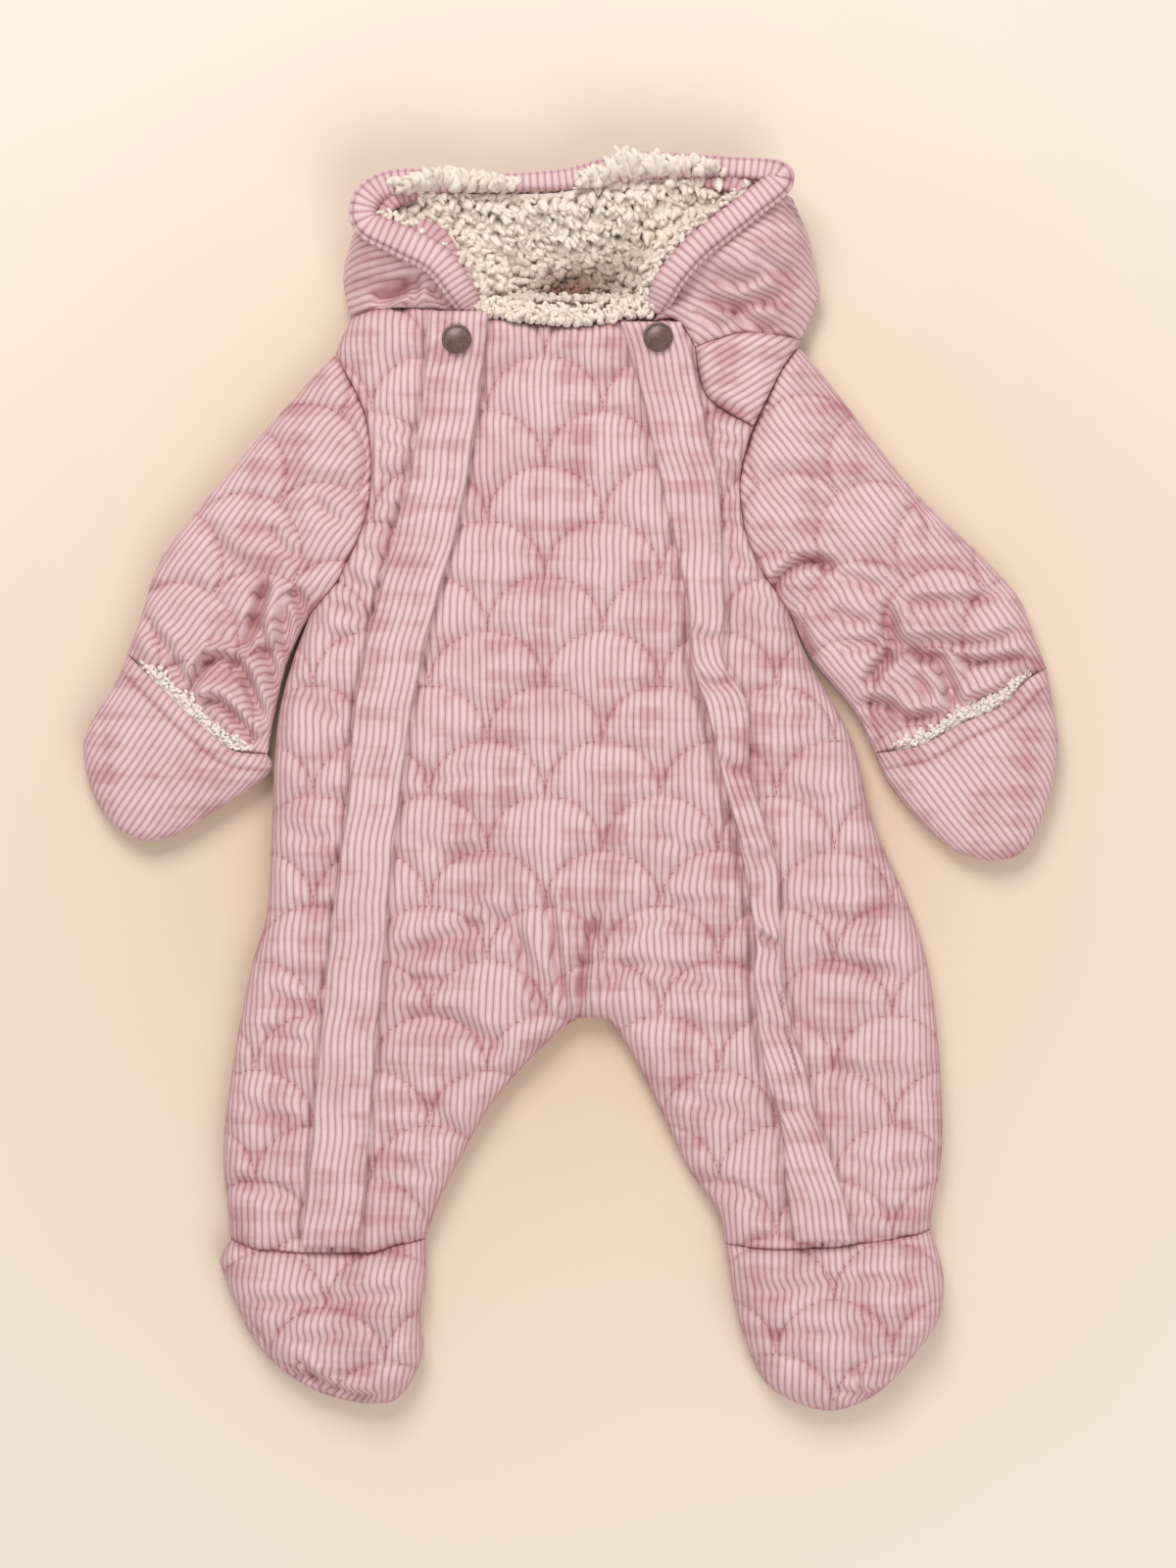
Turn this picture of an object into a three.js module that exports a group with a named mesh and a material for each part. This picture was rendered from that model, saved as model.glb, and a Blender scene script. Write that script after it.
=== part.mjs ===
// Baby snowsuit of quilted wide-wale corduroy with a pile lining, lying flat on its back.
// Millimetres. X runs across the garment from its middle, Y from the soles to the hood, Z up.
// Left and right are those of someone who looks down on the garment.
import * as THREE from 'three';

// Wall and seam sizes.
const SEAM_GAP = 0.4;
const SEAM_HEIGHT = 10;
const RIM_HEIGHT = 2;
const SIDE_ROUNDING = 20;
const SIDE_SQUARENESS = 2.4;
const SEAM_DIP = 2.2;
const SEAM_DIP_WIDTH = 9;
const LAYER_GAP = 1.2;
const UNDERSIDE_ROUNDING = 14;
const THINNEST_WALL = 1;

// Clamshell quilting: half width and rise of a scallop, depth of its stitch line, width of the puff.
const SCALLOP_HALF = 29.5;
const SCALLOP_RISE = 28;
const SCALLOP_ARC = 2.6;
const QUILT_DEPTH = 2;
const QUILT_PUFF = 8;

// Spacing of the points that make up a panel.
const EDGE_STEP = 8.5;
const QUILT_STEP = 8.5;
const FINE_FILL = 11;
const COARSE_FILL = 16;
const PLAIN_FILL = 26;
const NUDGE = 0.35;
const NUDGE_X = 12.9;
const NUDGE_Y = 78.2;
const NUDGE_SHARE = 0.7;

// Plackets, snaps, mitts and hood.
const PLACKET_THICKNESS = 4.5;
const PLACKET_LIFT = 0.7;
const PLACKET_ROUNDING = 4;
const PLACKET_MARGIN = 3;
const SNAP_RADIUS = 7.5;
const SNAP_HEIGHT = 2.6;
const SNAP_SIDES = 20;
const SNAP_SEATING = 0.8;
const SNAP_METALNESS = 0.3;
const MITT_WALL = 5.5;
const CUFF_OPENING = 60;
const CUFF_HOLLOW = 3.8;
const MITT_HEM = 11;
const PLUSH_SHOWS = 3.5;
const PLUSH_CLEARANCE = 0.8;
const PLUSH_THICKNESS = 2.2;
const HOOD_SHELL = 4;
const HOOD_SIDE_WALL = 8;
const HOOD_LINING = 7;
const HOOD_LINING_CLEARANCE = 1.9;
const HOOD_LINING_PRESSED = 0.3;
const HOOD_LINING_FREE_FROM = 572;
const HOOD_LINING_FREE_OVER = 20;
const HOOD_OVER_LINING = 3.2;
const HOOD_INNER_FOLDS = 0.8;
const HOOD_SIDE_CLEARANCE = 1;
const HOOD_CROWN_LIFT = 24;
const HOOD_CROWN_ROUNDING = 34;
const BAND_HALF_HEIGHT = 6;
const BAND_SIDES = 8;
const NECK_LINING = 10;
const NECK_LINING_CLEARANCE = 1;
const NECK_RISE = 3;
const NECK_RISE_FROM = 530;
const NECK_RISE_OVER = 25;

// Overall thickness above the floor at heights along the garment.
const BODY_THICKNESS = [
  { y: 0, height: 27 }, { y: 50, height: 33 }, { y: 84, height: 27 }, { y: 200, height: 25 },
  { y: 320, height: 28 }, { y: 450, height: 27 }, { y: 525, height: 27 }, { y: 560, height: 30 },
];
const SLEEVE_THICKNESS = [
  { y: 280, height: 21 }, { y: 345, height: 22 }, { y: 400, height: 25 }, { y: 540, height: 26 },
];
const HOOD_RIM_HEIGHT = [
  { y: 545, height: 27 }, { y: 568, height: 27 }, { y: 592, height: 37 }, { y: 622, height: 34 },
];

// Outlines and seams, as points of smooth curves.
const ARMHOLE_LEFT = [
  [-124.5, 540], [-109.5, 510.5], [-105.5, 481], [-109.5, 453], [-122.5, 424.5], [-137.5, 406.5],
];
const ARMHOLE_RIGHT_TOP = [[113, 544], [104, 531.5], [89.5, 502.5]];
const ARMHOLE_RIGHT = [[89.5, 502.5], [83.5, 482], [83, 461], [89.5, 436.5], [108.5, 406.5]];
const SIDE_LEFT = [
  [-137.5, 406.5], [-146.5, 382.5], [-154, 351], [-157, 301], [-159.5, 255], [-168, 225],
  [-176.5, 180], [-182, 135], [-180, 108], [-178, 87.5],
];
const SIDE_RIGHT = [
  [108.5, 406.5], [119.5, 380.5], [136.5, 351], [144, 330.5], [151, 301], [170.5, 255],
  [179.5, 225], [185, 180], [186.5, 135], [182, 106], [180, 92.5],
];
const INSEAM_LEFT = [
  [0, 200], [-9, 194], [-28, 175.5], [-47, 152], [-62, 125], [-72.5, 103.5], [-78, 87.5],
];
const INSEAM_RIGHT = [
  [0, 200], [14, 199.5], [24, 187.5], [45, 146.5], [56, 123], [71, 102], [75, 85],
];
const ANKLE_LEFT_OUTER = [[-178, 87.5], [-163.5, 83], [-144, 81.5], [-126, 81]];
const ANKLE_LEFT_INNER = [[-126, 81], [-108, 81], [-93, 84.5], [-78, 87.5]];
const ANKLE_RIGHT_INNER = [[75, 85], [100, 83], [125, 83.5]];
const ANKLE_RIGHT_OUTER = [[125, 83.5], [143.5, 85.5], [169.5, 89.5], [180, 92.5]];
const SEAM_UNDER_PLACKET_LEFT = [
  [-61, 560], [-64.5, 508], [-75, 456], [-88.5, 406], [-99.5, 360], [-104, 310], [-109, 270],
  [-114, 220], [-126, 81],
];
const SEAM_UNDER_PLACKET_RIGHT = [
  [38, 555.5], [51, 500], [61, 442], [68, 384], [79, 333], [92, 274], [97, 218], [109, 160], [125, 83.5],
];
const NECK_FRONT = [[38, 555.5], [25, 557], [5, 553.5], [-15, 553.5], [-45, 557.5], [-61, 560]];
const NECK_SIDE_LEFT = [[-61, 560], [-77.5, 562], [-100, 562], [-116.5, 558]];
const SHOULDER_LEFT = [[-116.5, 558], [-121, 549], [-124.5, 540]];
const NECK_SIDE_RIGHT = [[38, 555.5], [47, 557], [53.5, 553], [59.5, 542.5]];
const SHOULDER_PIECE_TOP = [[59.5, 542.5], [72, 547], [87.5, 550], [114, 547]];
const SHOULDER_PIECE_BOTTOM = [[59.5, 542.5], [62, 528], [66, 517.5], [78, 509], [89.5, 502.5]];
const SHOULDER_RIGHT = [[114, 547], [113, 544]];
const NECK_BACK = [[-116.5, 558], [-60, 556], [0, 555], [70, 549], [114, 547]];
const FOOT_LEFT = [
  [-178, 87.5], [-183.5, 76], [-178, 60], [-167.5, 37.5], [-153, 21], [-131.5, 8], [-104.5, 2.5],
  [-89.5, 8], [-79.5, 28.5], [-81, 47], [-78, 66], [-78, 87.5],
];
const FOOT_RIGHT = [
  [75, 85], [78, 66], [81.5, 47], [92.5, 18], [106.5, 5.5], [127, -1], [144.5, 3], [160.5, 14],
  [175.5, 32], [185, 47], [187, 70], [180, 92.5],
];
const SLEEVE_OUTER_LEFT = [
  [-124.5, 540], [-139, 525], [-166, 495], [-191.5, 465], [-214, 435], [-224.5, 405], [-231, 387],
];
const SLEEVE_INNER_LEFT = [[-137.5, 406.5], [-149, 382.5], [-156.5, 351], [-159, 335.5]];
const MOUTH_LEFT = [
  [-159, 335.5], [-176.5, 337.5], [-189, 347], [-199.5, 356], [-211, 367.5], [-231, 387],
];
const CUFF_LEFT = [
  [-157.5, 346], [-172, 347.5], [-184, 355.5], [-194, 365], [-205, 376], [-227.5, 397],
];
const MITT_LEFT = [
  [-231, 387], [-238, 370.5], [-251.5, 348.5], [-253.5, 334], [-247.5, 312], [-236.5, 298],
  [-222, 290.5], [-207.5, 293.5], [-189, 304.5], [-159, 325], [-159, 335.5],
];
const SLEEVE_OUTER_RIGHT = [
  [113, 544], [129, 525], [152, 495], [177, 465], [208.5, 435], [226, 415], [234, 394], [240, 379],
];
const SLEEVE_INNER_RIGHT = [[108.5, 406.5], [121, 382], [141, 358], [152, 336]];
const MOUTH_RIGHT = [[152, 336], [175, 340], [195.5, 351], [216, 360], [230, 374], [240, 379]];
const CUFF_RIGHT = [[147.5, 345], [171, 348.5], [191.5, 359.5], [211, 369], [225, 383], [236.4, 388]];
const MITT_RIGHT = [
  [240, 379], [243, 362], [246, 338], [240, 308.5], [229, 286.5], [212, 280.5], [192, 286.5],
  [173.5, 303], [158, 322], [152, 336],
];
const HOOD_OUTLINE_LEFT = [[-116.5, 558], [-120.5, 577.5], [-118, 592.5], [-110, 609]];
const HOOD_OUTLINE_RIGHT = [[114, 547], [123.5, 570], [121, 582.5], [117, 603], [110, 620]];
const HOOD_CROWN = [
  [-110, 609], [-98, 617], [-72, 620.5], [-34, 620.5], [-9, 621.5], [15, 626], [43.5, 628],
  [80, 627.5], [98, 624.5], [110, 620],
];
const HOOD_RIM_LEFT = [[-64, 567.5], [-73, 581], [-90, 591.5], [-102, 600], [-102, 608], [-97, 613]];
const HOOD_RIM_RIGHT = [[50, 571], [58, 586], [72.5, 598], [86, 608], [104, 617]];

// Middle of the rim band, from the left end over the forehead to the right end.
const BAND_PATH = [
  { x: -57, y: 569, z: 33, width: 13 }, { x: -71, y: 584, z: 41, width: 14 },
  { x: -90, y: 594, z: 43.3, width: 14 }, { x: -107, y: 603, z: 42.3, width: 12 },
  { x: -106, y: 616, z: 43, width: 12 }, { x: -90, y: 624.5, z: 39, width: 11 },
  { x: -50, y: 624.6, z: 33, width: 8 }, { x: -10, y: 626.3, z: 32, width: 9 },
  { x: 30, y: 633, z: 33, width: 12.5 }, { x: 75, y: 632.2, z: 36, width: 9 },
  { x: 102, y: 626.5, z: 41.5, width: 12 }, { x: 86, y: 611, z: 42, width: 12.5 },
  { x: 72.5, y: 600.5, z: 43, width: 12.5 }, { x: 57, y: 590, z: 42.8, width: 12.5 },
  { x: 44.5, y: 577, z: 38, width: 12 }, { x: 40, y: 569, z: 33.5, width: 11 },
];
const BAND_STEPS = 44;

// Left and right edge of each placket strip down the front.
const PLACKET_LEFT_ROWS = [
  { y: 560.5, left: -76, right: -45.5 }, { y: 508, left: -80, right: -51 },
  { y: 456, left: -91, right: -60.5 }, { y: 406, left: -104, right: -73.5 },
  { y: 360, left: -113.5, right: -84.5 }, { y: 310, left: -117, right: -91 },
  { y: 270, left: -122.5, right: -96 }, { y: 220, left: -128, right: -100 },
  { y: 84.5, left: -140.5, right: -111 },
];
const PLACKET_RIGHT_ROWS = [
  { y: 555, left: 21.5, right: 52 }, { y: 526, left: 30, right: 60.5 }, { y: 496, left: 37.5, right: 66.5 },
  { y: 468, left: 43, right: 71.5 }, { y: 438, left: 50.5, right: 73 }, { y: 408, left: 56.5, right: 74.5 },
  { y: 382, left: 57.5, right: 74 }, { y: 360, left: 65, right: 86 }, { y: 324, left: 73.5, right: 87.5 },
  { y: 285, left: 83, right: 100 }, { y: 256, left: 88, right: 102 }, { y: 238, left: 90.5, right: 103.5 },
  { y: 218, left: 89.5, right: 104 }, { y: 174, left: 95, right: 116 }, { y: 150, left: 102.5, right: 121 },
  { y: 113, left: 106, right: 134 }, { y: 87, left: 110, right: 140 },
];
const SNAPS = [{ name: 'snap_left', x: -61.5, y: 545.5 }, { name: 'snap_right', x: 40.5, y: 546.5 }];

// Largest folds: a valley runs from one end to the other. A ridge has a negative depth.
const BODY_FOLDS = [
  { x1: -9, y1: 238, x2: -7, y2: 202, depth: 4, width: 5 },
  { x1: 3, y1: 232, x2: 3, y2: 203, depth: 4, width: 4.5 },
  { x1: -98, y1: 232, x2: -40, y2: 250, depth: 2.5, width: 7 },
  { x1: -92, y1: 200, x2: -34, y2: 182, depth: 2.5, width: 7 },
  { x1: -30, y1: 262, x2: -14, y2: 232, depth: 2.2, width: 6 },
  { x1: 30, y1: 236, x2: 76, y2: 214, depth: 2.2, width: 7 },
  { x1: -160, y1: 214, x2: -132, y2: 200, depth: 2.2, width: 6 },
  { x1: 112, y1: 236, x2: 168, y2: 222, depth: 2.4, width: 7 },
  { x1: -88, y1: 466, x2: -100, y2: 424, depth: 2.6, width: 6 },
  { x1: 76, y1: 470, x2: 82, y2: 424, depth: 2.4, width: 5 },
  { x1: -142, y1: 374, x2: -122, y2: 350, depth: 2, width: 6 },
  { x1: 62, y1: 120, x2: 96, y2: 104, depth: 2, width: 6 },
  { x1: -176, y1: 118, x2: -146, y2: 108, depth: 2, width: 6 },
  { x1: -176, y1: 60, x2: -92, y2: 58, depth: 2.5, width: 6 },
  { x1: 84, y1: 56, x2: 178, y2: 60, depth: 2.2, width: 7 },
  { x1: -150, y1: 26, x2: -94, y2: 12, depth: 3, width: 5 },
  { x1: 104, y1: 14, x2: 164, y2: 22, depth: 3, width: 5 },
];
const SLEEVE_FOLDS_LEFT = [
  { x1: -150, y1: 436, x2: -136, y2: 424, depth: 3, width: 6 },
  { x1: -158, y1: 404, x2: -188, y2: 424, depth: 3, width: 6 },
  { x1: -160, y1: 384, x2: -182, y2: 378, depth: 3.2, width: 6 },
  { x1: -162, y1: 364, x2: -190, y2: 372, depth: 3.4, width: 5.5 },
  { x1: -170, y1: 345, x2: -184, y2: 362, depth: 3.2, width: 5 },
  { x1: -206, y1: 386, x2: -190, y2: 396, depth: 2.6, width: 6 },
];
const SLEEVE_FOLDS_RIGHT = [
  { x1: 100, y1: 420, x2: 120, y2: 433, depth: 4, width: 6 },
  { x1: 120, y1: 433, x2: 136, y2: 426, depth: 3.4, width: 6 },
  { x1: 128, y1: 408, x2: 146, y2: 400, depth: -3, width: 7 },
  { x1: 130, y1: 390, x2: 158, y2: 392, depth: 3.4, width: 5 },
  { x1: 148, y1: 366, x2: 176, y2: 372, depth: 3.2, width: 6 },
  { x1: 160, y1: 350, x2: 184, y2: 364, depth: 2.8, width: 6 },
  { x1: 204, y1: 392, x2: 224, y2: 398, depth: 2.4, width: 6 },
];
const HOOD_FOLDS = [
  { x1: -80, y1: 576, x2: -104, y2: 566, depth: 6, width: 6 },
  { x1: -82, y1: 574, x2: -84, y2: 562, depth: 4, width: 5 },
  { x1: -76, y1: 572, x2: -66, y2: 563, depth: 3, width: 4 },
  { x1: 62, y1: 566, x2: 104, y2: 566, depth: 7, width: 6 },
  { x1: 66, y1: 578, x2: 92, y2: 576, depth: -3, width: 7 },
  { x1: 78, y1: 562, x2: 100, y2: 551, depth: 4, width: 5 },
  { x1: 60, y1: 560, x2: 78, y2: 552, depth: -2.5, width: 6 },
];

// Where each quilted piece's scallops start, and how far its corduroy turns from upright.
const FRONT_QUILT = { x: -17, y: 454, turn: 0 };
const SLEEVE_QUILT_LEFT = { x: -170, y: 440, turn: -0.62 };
const SLEEVE_QUILT_RIGHT = { x: 150, y: 446, turn: 0.66 };
const FOOT_QUILT_LEFT = { x: -128, y: 26, turn: 0 };
const FOOT_QUILT_RIGHT = { x: 130, y: 30, turn: 0 };

// Colours of the cloth and the snap caps.
const CORDUROY = 0xd9afaf;
const CORDUROY_BACK = 0xcfa3a3;
const BAND_COLOUR = 0xe0b8b8;
const PILE = 0xe9dfd0;
const SNAP_COLOUR = 0x5e4944;
const CLOTH_ROUGHNESS = 0.92;
const SNAP_ROUGHNESS = 0.42;

const SURE_INSIDE = 1e9;
const FAR_AWAY = 1e5;
const CLEAR_OF_EDGE = 0.62;
const CLEAR_OF_POINT = 0.6;

const smoothStep = (value) => {
  const share = Math.min(Math.max(value, 0), 1);
  return share * share * (3 - 2 * share);
};

// Height from a table with columns y and height, at one y.
function heightAt(table, y) {
  const last = table[table.length - 1];
  if (y <= table[0].y) return table[0].height;
  if (y >= last.y) return last.height;
  const above = table.findIndex((row) => row.y > y);
  const low = table[above - 1];
  const high = table[above];
  const share = smoothStep((y - low.y) / (high.y - low.y));
  return low.height + (high.height - low.height) * share;
}

// Distance from a point to a chain of straight stretches.
function distanceTo(chain, x, y) {
  let nearest = SURE_INSIDE;
  for (let i = 0; i + 1 < chain.length; i += 1) {
    const [ax, ay] = chain[i];
    const [bx, by] = chain[i + 1];
    const length2 = (bx - ax) ** 2 + (by - ay) ** 2;
    const along = Math.min(Math.max(((x - ax) * (bx - ax) + (y - ay) * (by - ay)) / length2, 0), 1);
    nearest = Math.min(nearest, Math.hypot(x - ax - along * (bx - ax), y - ay - along * (by - ay)));
  }
  return nearest;
}

// Evenly spaced points on the smooth curve through a seam's points.
function trace(seam, step) {
  const curve = new THREE.SplineCurve(seam.map(([x, y]) => new THREE.Vector2(x, y)));
  const count = Math.max(1, Math.round(curve.getLength() / step));
  return curve.getSpacedPoints(count).map((point) => [point.x, point.y]);
}

const signedArea = (loop) => loop.reduce((sum, [x, y], i) => {
  const [nextX, nextY] = loop[(i + 1) % loop.length];
  return sum + (x * nextY - nextX * y) / 2;
}, 0);

const sameSpot = (a, b) => a[0] === b[0] && a[1] === b[1];

// One closed outline, counterclockwise, from seams that follow each other in either direction.
function joinSeams(seams, step) {
  const loop = [];
  const [first, second] = seams;
  const endsOf = (seam) => [seam[0], seam[seam.length - 1]];
  const firstEnd = first[first.length - 1];
  let reached = endsOf(second).some((spot) => sameSpot(spot, firstEnd)) ? first[0] : firstEnd;
  for (const seam of seams) {
    const points = trace(seam, step);
    const [start, end] = endsOf(seam);
    const forward = sameSpot(start, reached);
    loop.push(...(forward ? points : points.reverse()).slice(0, -1));
    reached = forward ? end : start;
  }
  return signedArea(loop) < 0 ? loop.reverse() : loop;
}

// The outline moved inwards, so that neighbours stay apart at their seam.
function inset(loop, amount) {
  return loop.map(([x, y], i) => {
    const [px, py] = loop[(i + loop.length - 1) % loop.length];
    const [nx, ny] = loop[(i + 1) % loop.length];
    const before = new THREE.Vector2(x - px, y - py).normalize();
    const after = new THREE.Vector2(nx - x, ny - y).normalize();
    const normal = new THREE.Vector2(-before.y - after.y, before.x + after.x).normalize();
    const widening = Math.max(0.5, normal.x * -before.y + normal.y * before.x);
    return [x + (normal.x * amount) / widening, y + (normal.y * amount) / widening];
  });
}

function isInside(loop, x, y) {
  let inside = false;
  for (let i = 0, j = loop.length - 1; i < loop.length; j = i, i += 1) {
    const [ax, ay] = loop[i];
    const [bx, by] = loop[j];
    if ((ay > y) !== (by > y) && x < ((bx - ax) * (y - ay)) / (by - ay) + ax) inside = !inside;
  }
  return inside;
}

// Triangles over scattered points, none with another point in its circle.
function triangulate(points) {
  const all = [...points, [-FAR_AWAY, -FAR_AWAY], [FAR_AWAY, -FAR_AWAY], [0, FAR_AWAY]];
  const count = points.length;
  const circleOf = (a, b, c) => {
    const [ax, ay] = all[a];
    const [bx, by] = [all[b][0] - ax, all[b][1] - ay];
    const [cx, cy] = [all[c][0] - ax, all[c][1] - ay];
    const twice = 2 * (bx * cy - by * cx);
    const b2 = bx * bx + by * by;
    const c2 = cx * cx + cy * cy;
    const ux = (cy * b2 - by * c2) / twice;
    const uy = (bx * c2 - cx * b2) / twice;
    return { a, b, c, x: ax + ux, y: ay + uy, radius2: ux * ux + uy * uy };
  };
  let triangles = [circleOf(count, count + 1, count + 2)];
  for (let p = 0; p < count; p += 1) {
    const [x, y] = all[p];
    const edges = new Map();
    triangles = triangles.filter((triangle) => {
      if ((x - triangle.x) ** 2 + (y - triangle.y) ** 2 >= triangle.radius2) return true;
      const corners = [triangle.a, triangle.b, triangle.c];
      corners.forEach((from, k) => {
        const to = corners[(k + 1) % 3];
        if (!edges.delete(`${to},${from}`)) edges.set(`${from},${to}`, [from, to]);
      });
      return false;
    });
    edges.forEach(([from, to]) => triangles.push(circleOf(from, to, p)));
  }
  return triangles.filter(({ a, b, c }) => Math.max(a, b, c) < count).map(({ a, b, c }) => [a, b, c]);
}

// Places of the scallop stitch lines, as points [across, up] in the quilting's own directions.
function scallopPoints(reach, step) {
  const points = [];
  const count = Math.round((SCALLOP_HALF * SCALLOP_ARC) / step);
  const rows = Math.ceil(reach / SCALLOP_RISE);
  const columns = Math.ceil(reach / (2 * SCALLOP_HALF));
  for (let row = -rows; row <= rows; row += 1) {
    const shift = row % 2 === 0 ? 0 : SCALLOP_HALF;
    for (let column = -columns; column <= columns; column += 1) {
      for (let k = 0; k <= count; k += 1) {
        const angle = (Math.PI * k) / count;
        const across = 2 * SCALLOP_HALF * column + shift + SCALLOP_HALF * Math.cos(angle);
        points.push([across, SCALLOP_RISE * (row + Math.sin(angle))]);
      }
    }
  }
  return points;
}

// Distance in the quilting's own directions to the nearest stitch line.
function scallopDistance(across, up) {
  let nearest = SURE_INSIDE;
  const row = Math.floor(up / SCALLOP_RISE);
  for (const r of [row - 1, row, row + 1]) {
    const shift = Math.abs(r % 2) * SCALLOP_HALF;
    const column = Math.round((across - shift) / (2 * SCALLOP_HALF));
    const x = (across - shift - 2 * SCALLOP_HALF * column) / SCALLOP_HALF;
    const y = up / SCALLOP_RISE - r;
    const size = Math.hypot(x, Math.max(y, 0));
    const gap = y < 0 ? Math.hypot((1 - Math.abs(x)) * SCALLOP_HALF, y * SCALLOP_RISE)
      : Math.abs(size - 1) * SCALLOP_RISE;
    nearest = Math.min(nearest, gap);
  }
  return nearest;
}

const toQuilt = (quilt, x, y) => {
  const c = Math.cos(quilt.turn);
  const s = Math.sin(quilt.turn);
  return [c * (x - quilt.x) + s * (y - quilt.y), -s * (x - quilt.x) + c * (y - quilt.y)];
};
const fromQuilt = (quilt, across, up) => {
  const c = Math.cos(quilt.turn);
  const s = Math.sin(quilt.turn);
  return [quilt.x + c * across - s * up, quilt.y + s * across + c * up];
};

const quiltRelief = (quilt, x, y) => {
  const [across, up] = toQuilt(quilt, x, y);
  return -QUILT_DEPTH * (1 - smoothStep(scallopDistance(across, up) / QUILT_PUFF));
};

const foldRelief = (folds, x, y) => folds.reduce((sum, fold) => {
  const away = distanceTo([[fold.x1, fold.y1], [fold.x2, fold.y2]], x, y) / fold.width;
  return sum - fold.depth * Math.exp(-away * away);
}, 0);

// Points for one panel: its outline, then folds and stitch lines, then an even filling.
function panelPoints(outline, options) {
  const points = outline.map(([x, y]) => [x, y]);
  const edge = [...outline, outline[0]];
  const addIfClear = ([x, y], clearance, fromEdge) => {
    if (!isInside(outline, x, y) || distanceTo(edge, x, y) < fromEdge) return;
    if (points.some(([px, py]) => Math.hypot(px - x, py - y) < clearance)) return;
    points.push([x, y]);
  };
  const fromEdge = options.edgeStep * CLEAR_OF_EDGE;
  for (const fold of options.folds ?? []) {
    const length = Math.hypot(fold.x2 - fold.x1, fold.y2 - fold.y1);
    const steps = Math.max(1, Math.round(length / QUILT_STEP));
    for (let k = 0; k <= steps; k += 1) {
      const share = k / steps;
      const x = fold.x1 + (fold.x2 - fold.x1) * share;
      const y = fold.y1 + (fold.y2 - fold.y1) * share;
      addIfClear([x, y], QUILT_STEP * CLEAR_OF_POINT, fromEdge);
    }
  }
  const xs = outline.map(([x]) => x);
  const ys = outline.map(([, y]) => y);
  if (options.quilt) {
    const reach = Math.hypot(Math.max(...xs) - Math.min(...xs), Math.max(...ys) - Math.min(...ys));
    for (const [across, up] of scallopPoints(reach, QUILT_STEP)) {
      const spot = fromQuilt(options.quilt, across, up);
      if (options.plain && options.plain(...spot)) continue;
      addIfClear(spot, QUILT_STEP * CLEAR_OF_POINT, fromEdge);
    }
  }
  const rise = options.fill * Math.sqrt(0.75);
  let row = 0;
  for (let y = Math.min(...ys); y < Math.max(...ys); y += rise) {
    row += 1;
    for (let x = Math.min(...xs); x < Math.max(...xs); x += options.fill) {
      const nudge = NUDGE * Math.sin(NUDGE_X * x + NUDGE_Y * y);
      const shift = ((row % 2) * options.fill) / 2;
      const spot = [x + shift + nudge, y + nudge * NUDGE_SHARE];
      addIfClear(spot, options.fill * CLEAR_OF_POINT, fromEdge);
    }
  }
  return points;
}

// A panel of cloth: one wall between its upper and its lower face.
function makePanel(seams, faces, options = {}) {
  const settings = { edgeStep: EDGE_STEP, fill: PLAIN_FILL, ...options };
  const outline = inset(joinSeams(seams, settings.edgeStep), SEAM_GAP / 2);
  const points = panelPoints(outline, settings);
  const triangles = triangulate(points).filter(([a, b, c]) => {
    const x = (points[a][0] + points[b][0] + points[c][0]) / 3;
    const y = (points[a][1] + points[b][1] + points[c][1]) / 3;
    return isInside(outline, x, y);
  });
  const edge = [...outline, outline[0]];
  const count = points.length;
  const upper = points.map(([x, y]) => [x, y, faces.top(x, y, distanceTo(edge, x, y))]);
  const lower = points.map(([x, y], i) => {
    const z = faces.bottom(x, y, distanceTo(edge, x, y));
    return [x, y, Math.min(z, upper[i][2] - THINNEST_WALL)];
  });
  const index = [];
  const open = new Map();
  for (const [a, b, c] of triangles) {
    index.push(a, b, c, count + a, count + c, count + b);
    for (const [from, to] of [[a, b], [b, c], [c, a]]) {
      if (!open.delete(`${to},${from}`)) open.set(`${from},${to}`, [from, to]);
    }
  }
  open.forEach(([from, to]) => {
    index.push(from, count + from, count + to, from, count + to, to);
  });
  const geometry = new THREE.BufferGeometry();
  geometry.setAttribute('position', new THREE.Float32BufferAttribute([...upper, ...lower].flat(), 3));
  geometry.setIndex(index);
  geometry.computeVertexNormals();
  return geometry;
}

const garment = new THREE.Group();

function addPiece(name, geometry, color, roughness = CLOTH_ROUGHNESS, metalness = 0) {
  const mesh = new THREE.Mesh(geometry, new THREE.MeshStandardMaterial({ color, roughness, metalness }));
  mesh.name = name;
  garment.add(mesh);
}

// Rounding of an upper face towards a folded side, from 0 at the side to 1 on the flat.
const rounding = (away, reach) => {
  const share = Math.min(away / reach, 1);
  return Math.sqrt(1 - (1 - share) ** SIDE_SQUARENESS);
};

const seamDip = (away) => -SEAM_DIP * (1 - smoothStep(away / SEAM_DIP_WIDTH));
const BODY_SIDES = [SIDE_LEFT, SIDE_RIGHT, INSEAM_LEFT, INSEAM_RIGHT, FOOT_LEFT, FOOT_RIGHT,
  SHOULDER_LEFT, SHOULDER_RIGHT].map((seam) => trace(seam, EDGE_STEP));
const sideDistance = (sides, x, y) => Math.min(...sides.map((side) => distanceTo(side, x, y)));

const puff = (sides, table, x, y) => {
  const base = SEAM_HEIGHT + RIM_HEIGHT;
  return base + (heightAt(table, y) - base) * rounding(sideDistance(sides, x, y), SIDE_ROUNDING);
};

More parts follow.
